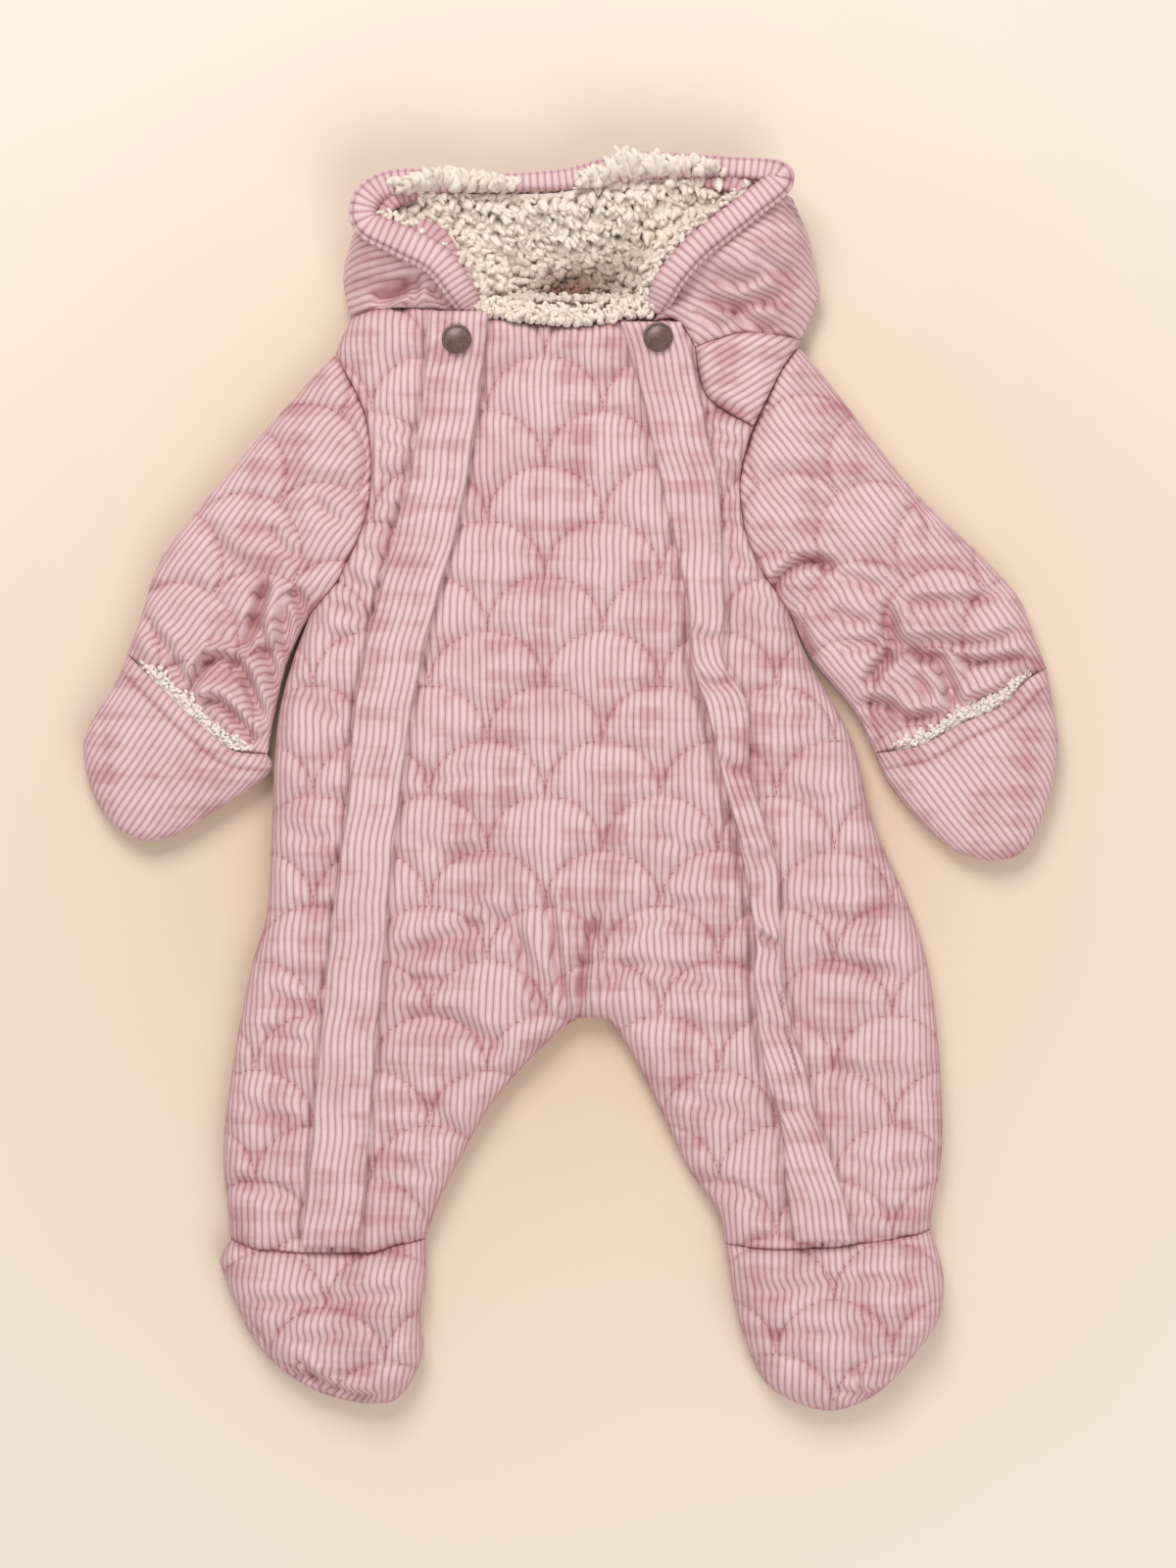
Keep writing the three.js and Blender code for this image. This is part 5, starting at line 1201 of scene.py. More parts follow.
@dataclass
class Body:
    """The suit's front, back and feet."""

    finishes: Finishes
    panels: dict[str, Panel] = field(default_factory=dict)

    def front_look(self, quilt: Quilt | None) -> Callable[[Ground], Look]:
        """How the front's upper face goes, with or without quilting."""

        def look(ground: Ground) -> Look:
            """Height, ribs and nap of the front."""
            flat = body_surface(ground.side, ground.y)
            cover = under_placket(ground.xy)
            free = (1 - cover) * rounding(ground.side, SIDE_ROUNDING)
            quilting = quilt.relief(ground.xy) if quilt else np.zeros(len(ground.xy))
            folds = fold_relief(BODY_FOLDS, ground.xy)
            relief = quilting + folds + seam_dip(ground.away) + 0.45 * ripple(ground.xy, 21, 0.4)
            relief -= beside_placket(ground.xy)
            height = flat + free * relief - PLACKET_LIFT * cover
            # Painted shade in crease valleys, along the quilting lines and at the seams, added to random patches of
            # darker nap.
            painted_shade_and_nap = nap(ground.xy, 1.1) - folds / 14
            painted_shade_and_nap += 0.45 * np.exp(-((quilt.distance(ground.xy) / 1.1) ** 2)) if quilt else 0
            painted_shade_and_nap += 0.5 * np.exp(-((ground.away / 1.4) ** 2))
            painted_shade_and_nap = np.clip(painted_shade_and_nap, 0, 1)
            return Look(height, 1 - cover, painted_shade_and_nap * (1 - cover), 0.6 * folds + 0.25 * quilting)

        return look

    def front_under(self, ground: Ground) -> Look:
        """The front's inner face, over the hollow between front and back."""
        gap = LAYER_GAP * smooth_step(ground.away / SIDE_ROUNDING)
        return Look(SEAM_HEIGHT + SEAM_GAP / 2 + gap + neck_rise(ground.y))

    def back_upper(self, ground: Ground) -> Look:
        """The back's inner face."""
        return Look(SEAM_HEIGHT - SEAM_GAP / 2 - LAYER_GAP * smooth_step(ground.away / SIDE_ROUNDING))

    def front_panel(self, node: str, seams: Sequence[Line], quilt: Quilt | None, ribs: Ribs = Ribs()) -> Panel:
        """A panel of the front."""
        return Panel(node, seams, self.front_look(quilt), self.front_under, ribs, BODY_SIDES)

    def back_panel(self, node: str, seams: Sequence[Line]) -> Panel:
        """A panel of the back, its ribs below."""
        return Panel(
            node, seams, self.back_upper, under_look, Ribs(0, 0.3), BODY_SIDES, Face.LOWER, along_step=6.0,
            hidden_step=14.0,
        )

    def build(self) -> None:
        """Makes every panel of the body."""
        ankles_left, ankles_right = (ANKLE_LEFT_OUTER, ANKLE_LEFT_INNER), (ANKLE_RIGHT_INNER, ANKLE_RIGHT_OUTER)
        parts = [
            self.front_panel(
                "front_center",
                (NECK_FRONT, SEAM_UNDER_PLACKET_LEFT, ANKLE_LEFT_INNER, INSEAM_LEFT, INSEAM_RIGHT,
                 ANKLE_RIGHT_INNER, SEAM_UNDER_PLACKET_RIGHT),
                FRONT_QUILT,
            ),
            self.front_panel(
                "front_side_left",
                (SEAM_UNDER_PLACKET_LEFT, ANKLE_LEFT_OUTER, SIDE_LEFT, ARMHOLE_LEFT, SHOULDER_LEFT, NECK_SIDE_LEFT),
                FRONT_QUILT,
            ),
            self.front_panel(
                "front_side_right",
                (SEAM_UNDER_PLACKET_RIGHT, ANKLE_RIGHT_OUTER, SIDE_RIGHT, ARMHOLE_RIGHT, SHOULDER_PIECE_BOTTOM,
                 NECK_SIDE_RIGHT),
                FRONT_QUILT,
            ),
            self.back_panel(
                "back",
                (NECK_BACK, SHOULDER_LEFT, ARMHOLE_LEFT, SIDE_LEFT, ANKLE_LEFT_OUTER, ANKLE_LEFT_INNER,
                 INSEAM_LEFT, INSEAM_RIGHT, ANKLE_RIGHT_INNER, ANKLE_RIGHT_OUTER, SIDE_RIGHT, ARMHOLE_RIGHT,
                 ARMHOLE_RIGHT_TOP, SHOULDER_RIGHT),
            ),
            self.front_panel("foot_upper_left", (*ankles_left, FOOT_LEFT), FOOT_QUILTS["left"], Ribs(-0.06)),
            self.front_panel("foot_upper_right", (*ankles_right, FOOT_RIGHT), FOOT_QUILTS["right"], Ribs(0.05)),
            self.back_panel("foot_sole_left", (*ankles_left, FOOT_LEFT)),
            self.back_panel("foot_sole_right", (*ankles_right, FOOT_RIGHT)),
        ]
        for panel in parts:
            self.panels[panel.node] = panel
            piece = settle(panel.build(), self.finishes.corduroy, "corduroy", panel.node)
        shoulder = self.front_panel(
            "shoulder_right",
            (SHOULDER_PIECE_BOTTOM, ARMHOLE_RIGHT_TOP, SHOULDER_RIGHT, SHOULDER_PIECE_TOP),
            None,
            Ribs(-1.0, 0.4),
        )
        self.panels[shoulder.node] = shoulder
        settle(shoulder.build(), self.finishes.corduroy, "corduroy", shoulder.node)


@dataclass
class Arm:
    """One sleeve with its fold-over mitt."""

    finishes: Finishes
    name: str
    armhole: Sequence[Line]
    outer: Line
    inner: Line
    mouth: Line
    mitt: Line
    folds: Sequence[Fold]
    quilt: Quilt
    into_sleeve: Spot
    ribs: Ribs
    hem: tuple[float, ...] = (8.5,)
    shows: float = 6.5
    panels: dict[str, Panel] = field(default_factory=dict)

    def __post_init__(self) -> None:
        """Traces the sides and the mouth once."""
        self.sides = sides_of((self.outer, self.inner, self.mitt))
        self.mouth_line = smooth_line(self.mouth, 4)

    def puff(self, ground: Ground) -> np.ndarray:
        """Height of the arm over the floor, without quilting and creases."""
        base = SEAM_HEIGHT + RIM_HEIGHT
        return base + (height_at(SLEEVE_THICKNESS, ground.y) - base) * rounding(ground.side, SIDE_ROUNDING)

    def from_mouth(self, xy: np.ndarray) -> np.ndarray:
        """Distance from the mitt's mouth, above zero on the sleeve's side."""
        far, _, gap = nearest_on(self.mouth_line, xy)
        return far * np.sign(gap @ np.array(self.into_sleeve))

    def hollow(self, ground: Ground) -> np.ndarray:
        """Half the gap between the sleeve's layers, wider towards the cuff."""
        near_cuff = 1 - smooth_step(np.abs(self.from_mouth(ground.xy)) / 60)
        return LAYER_GAP * smooth_step(ground.away / SIDE_ROUNDING) + 3.8 * near_cuff * smooth_step(
            ground.side / SIDE_ROUNDING
        )

    def sleeve_look(self, ground: Ground) -> Look:
        """The sleeve's upper face, diving under the mitt's edge."""
        quilting, folds = self.quilt.relief(ground.xy), 1.25 * fold_relief(self.folds, ground.xy)
        swell = 0.4 * ripple(ground.xy, 17, 2.0)
        dive = smooth_step((self.from_mouth(ground.xy) + 3) / 15)
        armhole = np.min([nearest_on(smooth_line(seam, 4), ground.xy)[0] for seam in self.armhole], axis=0)
        relief = quilting + folds + seam_dip(armhole) + swell
        height = self.puff(ground) + rounding(ground.side, SIDE_ROUNDING) * relief
        low = np.minimum(13.4, height)
        # Painted shade in crease valleys, along the quilting lines and at the armhole seam, added to random patches of
        # darker nap.
        painted_shade_and_nap = nap(ground.xy, 0.3) - folds / 16 + 0.45 * np.exp(-((self.quilt.distance(ground.xy) / 1.1) ** 2))
        painted_shade_and_nap = np.clip(painted_shade_and_nap + 0.5 * np.exp(-((armhole / 1.4) ** 2)), 0, 1)
        return Look(low + (height - low) * dive, 1.0, painted_shade_and_nap, 0.6 * folds + 0.25 * quilting)

    def sleeve_under(self, ground: Ground) -> Look:
        """The inner face of the sleeve's upper half."""
        dive = smooth_step((self.from_mouth(ground.xy) - 4) / 12)
        return Look(SEAM_HEIGHT + SEAM_GAP / 2 + self.hollow(ground) * dive)

    def ceiling(self, ground: Ground) -> np.ndarray:
        """Height of the mitt's pocket."""
        free = smooth_step(ground.side / SIDE_ROUNDING)
        return SEAM_HEIGHT + SEAM_GAP / 2 + free * (height_at(SLEEVE_THICKNESS, ground.y) - MITT_WALL - SEAM_HEIGHT)

    def mitt_look(self, ground: Ground) -> Look:
        """The mitt's upper face, with its folded hem and a stitched groove for each row of the hem."""
        inside = -self.from_mouth(ground.xy)
        hem = 0.9 * (1 - smooth_step((inside - self.hem[-1]) / 3))
        grooves = sum(-1.5 * np.exp(-(((inside - row) / 1.2) ** 2)) for row in self.hem)
        edge = -2.4 * (1 - smooth_step(inside / 3.0))
        swell = 0.45 * ripple(ground.xy, 19, 1.7)
        relief = hem + grooves + edge + swell
        # Painted shade in the hem's stitched grooves, added to random patches of darker nap.
        painted_shade_and_nap = np.clip(nap(ground.xy, 0.9) - grooves * 0.35, 0, 0.8)
        return Look(self.puff(ground) + rounding(ground.side, SIDE_ROUNDING) * relief, 1.0, painted_shade_and_nap)

    def build(self) -> None:
        """Makes the sleeve's two halves, the mitt's two walls and the plush strip."""
        cloth = self.finishes.corduroy
        seams = (*self.armhole, self.inner, self.mouth, self.outer)
        upper = Panel(
            f"sleeve_upper_{self.name}", seams, self.sleeve_look, self.sleeve_under, self.ribs, self.sides,
        )
        under = Panel(
            f"sleeve_under_{self.name}", seams,
            lambda ground: Look(SEAM_HEIGHT - SEAM_GAP / 2 - self.hollow(ground)),
            under_look, Ribs(self.ribs.turn, 0.3), self.sides, Face.LOWER, along_step=5.0, hidden_step=12.0,
        )
        for panel in (upper, under):
            self.panels[panel.node] = panel
            settle(panel.build(), cloth, "corduroy", panel.node)
        mitt_seams = (self.mouth, self.mitt)
        front = Panel(
            f"mitt_front_{self.name}", mitt_seams, self.mitt_look, lambda ground: Look(self.ceiling(ground)),
            Ribs(self.ribs.turn, 0.5), self.sides, along_step=1.2,
        )
        back = Panel(
            f"mitt_back_{self.name}", mitt_seams,
            lambda ground: Look(
                SEAM_HEIGHT - SEAM_GAP / 2 - smooth_step(ground.side / SIDE_ROUNDING) * (SEAM_HEIGHT - MITT_WALL)
            ),
            under_look, Ribs(self.ribs.turn, 0.3), self.sides, Face.LOWER, along_step=5.0, hidden_step=8.0,
        )
        for panel in (front, back):
            self.panels[panel.node] = panel
            piece = settle(panel.build(), cloth, "corduroy", panel.node)
            width, length, area = panel.cut()
        self.build_plush()

    def build_plush(self) -> None:
        """Makes the plush strip in the mitt's mouth, with ragged tufts along its edge."""
        line = smooth_line(self.mouth, 1.2)
        line = line[4:-4]
        run = np.gradient(line, axis=0)
        normal = np.column_stack([-run[:, 1], run[:, 0]])
        normal /= np.linalg.norm(normal, axis=1)[:, None]
        normal *= np.sign(normal @ np.array(self.into_sleeve))[:, None]
        stops = np.linspace(-11, 1, 15)
        steps = np.arange(len(line))
        wave = self.shows + 1.1 * np.sin(steps / 5.3) + 0.7 * np.sin(steps / 2.1 + 1) + 0.4 * np.sin(steps / 0.9)
        fade = smooth_step(steps / 12) * smooth_step((len(line) - 1 - steps) / 12)
        wave = 1.0 + (wave - 1.0) * fade
        parts = MeshParts()
        rings = []
        for at, (spot, way) in enumerate(zip(line, normal)):
            out = np.where(stops > 0, stops * wave[at], stops)
            rings.append(spot + out[:, None] * way)
        plan = np.vstack(rings)
        ground = measure(plan, join_seams((self.mouth, self.mitt), 2), self.sides)
        roof = self.ceiling(ground) - 0.8
        beyond = np.tile(np.maximum(stops, 0), len(line))
        fuzz = 0.35 * np.sin(plan[:, 0] * 3.1 + plan[:, 1] * 1.7) * np.sin(plan[:, 1] * 2.9 - plan[:, 0] * 1.1)
        top = roof + np.where(beyond > 0, 2.0 * np.sin(np.pi * np.minimum(beyond + 0.15, 1)) + fuzz, 0)
        low = roof - 2.2 + 1.0 * beyond
        top = np.maximum(top, low + 0.5)
        columns, rows = len(stops), len(line)
        grid = np.arange(rows * columns).reshape(rows, columns)
        a, b, c, d = grid[:-1, :-1].ravel(), grid[1:, :-1].ravel(), grid[1:, 1:].ravel(), grid[:-1, 1:].ravel()
        faces = np.vstack([np.column_stack([a, b, c]), np.column_stack([a, c, d])])
        p, q, r = plan[faces[0, 0]], plan[faces[0, 1]], plan[faces[0, 2]]
        if (q[0] - p[0]) * (r[1] - p[1]) - (q[1] - p[1]) * (r[0] - p[0]) < 0:
            faces = faces[:, ::-1]
        # Painted shade: the strip's under face is darker than its top.
        parts.add(np.column_stack([plan, top]), faces, painted_shade_and_nap=0.1)
        first = parts.add(np.column_stack([plan, low]), faces[:, ::-1], painted_shade_and_nap=0.3)
        used = {}
        for face in faces:
            for k in range(3):
                edge = (int(face[k]), int(face[(k + 1) % 3]))
                if edge[::-1] in used:
                    del used[edge[::-1]]
                else:
                    used[edge] = True
        rim = np.array(list(used), int)
        parts.add_faces(np.column_stack([rim[:, 0], first + rim[:, 0], first + rim[:, 1]]))
        parts.add_faces(np.column_stack([rim[:, 0], first + rim[:, 1], rim[:, 1]]))
        tufts = MeshParts()
        lock = Lock.shape()
        rng = np.random.default_rng(41 if self.name == "left" else 43)
        for at in range(3, len(line) - 3):
            for _ in range(3):
                out = wave[at] * rng.uniform(0.1, 0.95)
                spot = line[at] + normal[at] * out
                z = roof[at * columns + columns - 2] + 1.0
                way = np.array([*(normal[at] * 0.8 + rng.normal(0, 0.45, 2)), rng.uniform(0.15, 0.7)])
                lock.place(tufts, np.array([*spot, z]), way, rng.uniform(2.2, 4.2), rng.uniform(1.0, 1.5), rng)
        fringe = settle(tufts.make(f"mitt_fringe_{self.name}_plush"), self.finishes.plush, "plush")
        piece = settle(
            parts.make(f"mitt_lining_{self.name}_plush"), self.finishes.plush, "plush", f"mitt_lining_{self.name}",
        )


@dataclass
class Lock:
    """One lock of pile: a soft drop that curls as it goes out, modelled once and set down many times."""

    points: np.ndarray
    faces: np.ndarray

    @classmethod
    def shape(cls) -> "Lock":
        """The lock, one long and one wide, standing on the origin."""
        bpy.ops.object.select_all(action="DESELECT")
        bpy.ops.mesh.primitive_uv_sphere_add(segments=6, ring_count=5, radius=0.5, location=(0, 0, 0.5))
        ball = bpy.context.object
        bpy.ops.object.mode_set(mode="EDIT")
        bpy.ops.mesh.select_all(action="SELECT")
        bpy.ops.mesh.quads_convert_to_tris()
        bpy.ops.object.mode_set(mode="OBJECT")
        points = np.array([tuple(ball.matrix_world @ v.co) for v in ball.data.vertices])
        faces = np.array([tuple(p.vertices) for p in ball.data.polygons], int)
        bpy.data.objects.remove(ball, do_unlink=True)
        return cls(points, faces)

    def place(self, parts: MeshParts, root: np.ndarray, way: np.ndarray, length: float, radius: float,
              rng: np.random.Generator, painted_shade_and_nap: float = 0.15) -> None:
        """Sets down one lock.

        Args:
            parts: the piece that it joins.
            root: where it grows from.
            way: where it points.
            length: how long it is.
            radius: how thick it is.
            rng: the source of its chance.
            painted_shade_and_nap: painted shade over the whole lock, to which more painted shade at its root is added.
        """
        way = way / np.linalg.norm(way)
        side = np.cross(way, [0.3, 0.2, 1.0])
        side /= max(np.linalg.norm(side), 1e-6)
        other = np.cross(way, side)
        turn = rng.uniform(0, 2 * math.pi)
        side, other = math.cos(turn) * side + math.sin(turn) * other, math.cos(turn) * other - math.sin(turn) * side
        t = self.points[:, 2]
        bulge = 1.0 + 0.25 * np.sin(3 * math.pi * t + turn)
        curl = 0.9 * radius * np.sin(1.6 * math.pi * t + turn) * t
        x = self.points[:, 0] * 2 * radius * bulge + curl
        y = self.points[:, 1] * 2 * radius * bulge * 0.8 + curl * 0.5
        spots = root + t[:, None] * length * way + x[:, None] * side + y[:, None] * other
        # Painted shade: darker towards the root, where the locks shade each other.
        parts.add(spots, self.faces, painted_shade_and_nap=painted_shade_and_nap + 0.22 * (1 - t) ** 2)


@dataclass
class Placket:
    """One placket: a folded strip of corduroy, ribs along it, over the zip."""

    finishes: Finishes
    name: str
    rows: Sequence[tuple[float, float, float]]
    ripple_height: float = 0.0
    ripple_length: float = 58.0
    flow: tuple[Fold, ...] = ()

    def lift(self, x: np.ndarray, y: np.ndarray) -> np.ndarray:
        """How far the strip stands off the front: its inner edge lifts in ripples."""
        left, right = edge_of(self.rows, 1, y), edge_of(self.rows, 2, y)
        inner = 1 - np.clip((x - left) / (right - left), 0, 1)
        wave = 0.6 + 0.4 * np.cos(2 * np.pi * y / self.ripple_length)
        return self.ripple_height * wave * smooth_step((430 - y) / 60) * smooth_step((y - 100) / 50) * inner

    def build(self) -> None:
        """Makes the strip."""
        ys = [row[0] for row in self.rows]
        left = smooth_line([(row[1], row[0]) for row in self.rows], 1.6)
        stations = np.linspace(max(ys) - SEAM_GAP, min(ys) + SEAM_GAP, len(left))
        left_x = np.interp(stations, left[::-1, 1], left[::-1, 0])
        right = smooth_line([(row[2], row[0]) for row in self.rows], 1.6)
        right_x = np.interp(stations, right[::-1, 1], right[::-1, 0])
        width = float(np.max(right_x - left_x))
        count = int(width / (RIB / RIB_SAMPLES)) + 1
        from_outer = np.linspace(0, 1, count)
        if self.name == "left":
            base, way = right_x, left_x - right_x
        else:
            base, way = right_x, left_x - right_x
        x = base[:, None] + way[:, None] * from_outer[None, :]
        y = np.broadcast_to(stations[:, None], x.shape)
        plan = np.column_stack([x.ravel(), y.ravel()])
        across = (np.abs(way)[:, None] * from_outer[None, :]).ravel()
        total = np.repeat(np.abs(way), count)
        away = np.minimum.reduce([across, total - across, np.abs(plan[:, 1] - stations[0]), np.abs(plan[:, 1] - stations[-1])])
        ground = measure(plan, join_seams((SIDE_LEFT, FOOT_LEFT[::1], INSEAM_LEFT), 9), BODY_SIDES)
        surface = body_surface(ground.side, ground.y) + self.lift(plan[:, 0], plan[:, 1])
        number = across / RIB + 0.25 * np.sin(plan[:, 1] / 17) + 0.12 * np.sin(plan[:, 1] / 5.3)
        folds = fold_relief(self.flow, plan)
        swell = 0.5 * ripple(plan, 17, 3.1)
        number += 0.08 * folds
        crown = (PLACKET_THICKNESS - RIM_HEIGHT) * rounding(away, PLACKET_ROUNDING)
        top = surface + RIM_HEIGHT + crown + rounding(away, 6) * (folds + swell)
        top += RIB_HEIGHT * (rib_profile(number) - 0.6) * smooth_step(away / 0.8)
        # Painted shade in crease valleys, added to random patches of darker nap.
        painted_shade_and_nap = np.clip(nap(plan, 0.2) - folds / 12, 0, 0.8)
        rows = len(stations)
        grid = np.arange(rows * count).reshape(rows, count)
        a, b, c, d = grid[:-1, :-1].ravel(), grid[1:, :-1].ravel(), grid[1:, 1:].ravel(), grid[:-1, 1:].ravel()
        faces = np.vstack([np.column_stack([a, d, c]), np.column_stack([a, c, b])])
        faces = faces[:, ::-1] if self.turns_down(plan, faces[0]) else faces
        parts = MeshParts()
        ribs = np.column_stack([number, plan[:, 1] / RIB])
        parts.add(np.column_stack([plan, top]), faces, ribs, painted_shade_and_nap)
        first = parts.add(np.column_stack([plan, surface + 0.05]), faces[:, ::-1], ribs, painted_shade_and_nap)
        loop = np.concatenate([grid[0], grid[1:, -1], grid[-1, -2::-1], grid[-2:0:-1, 0]])
        after = np.roll(loop, -1)
        wall = np.vstack([
            np.column_stack([loop, first + after, first + loop]), np.column_stack([loop, after, first + after]),
        ])
        parts.add_faces(wall if self.turns_down(plan, [loop[0], loop[count - 1], loop[count + 5]]) else wall[:, ::-1])
        piece = settle(
            parts.make(f"placket_{self.name}_cloth"), self.finishes.corduroy, "corduroy", f"placket_{self.name}",
        )

    @staticmethod
    def turns_down(plan: np.ndarray, corners: Sequence[int]) -> bool:
        """Whether three points of the plan go clockwise."""
        p, q, r = (plan[i] for i in corners)
        return (q[0] - p[0]) * (r[1] - p[1]) - (q[1] - p[1]) * (r[0] - p[0]) < 0


@dataclass
class SnapCap:
    """One snap cap: a stamped disc with a rolled edge, a sunk ring and a low dome."""

    finishes: Finishes
    node: str
    radius: float = 7.5
    rim: float = 1.1
    sink: float = 0.45

    def build(self) -> None:
        """Makes the cap at its solid's place."""
        low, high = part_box(self.node)
        tall = high.z - low.z
        bpy.ops.object.select_all(action="DESELECT")
        bpy.ops.mesh.primitive_cylinder_add(
            vertices=64, radius=self.radius * MM, depth=tall * 0.82,
            location=((low.x + high.x) / 2, (low.y + high.y) / 2, low.z + tall * 0.41),
        )
        cap = bpy.context.object
        cap.name = f"{self.node}_cap"
        bpy.ops.object.mode_set(mode="EDIT")
        bpy.ops.mesh.select_all(action="DESELECT")
        bpy.ops.object.mode_set(mode="OBJECT")
        for polygon in cap.data.polygons:
            polygon.select = polygon.normal.z > 0.9
        bpy.ops.object.mode_set(mode="EDIT")
        bpy.ops.mesh.select_mode(type="FACE")
        bpy.ops.mesh.bevel(offset=0.55 * MM, segments=4, profile=0.5, affect="EDGES")
        bpy.ops.object.mode_set(mode="OBJECT")
        top = max(cap.data.polygons, key=lambda p: (p.center.z, p.area))
        for polygon in cap.data.polygons:
            polygon.select = polygon.index == top.index
        bpy.ops.object.mode_set(mode="EDIT")
        bpy.ops.mesh.inset(thickness=self.rim * MM * 0.55)
        bpy.ops.mesh.inset(thickness=0.3 * MM, depth=-self.sink * MM)
        bpy.ops.mesh.inset(thickness=0.6 * MM)
        bpy.ops.mesh.inset(thickness=1.6 * MM, depth=0.4 * MM)
        bpy.ops.mesh.inset(thickness=2.0 * MM, depth=0.3 * MM)
        bpy.ops.mesh.poke()
        bpy.ops.object.mode_set(mode="OBJECT")
        bpy.ops.object.transform_apply(location=True, rotation=True, scale=True)
        bpy.ops.object.shade_smooth_by_angle(angle=math.radians(50))
        settle(cap, self.finishes.snap, "snap_cap", self.node)


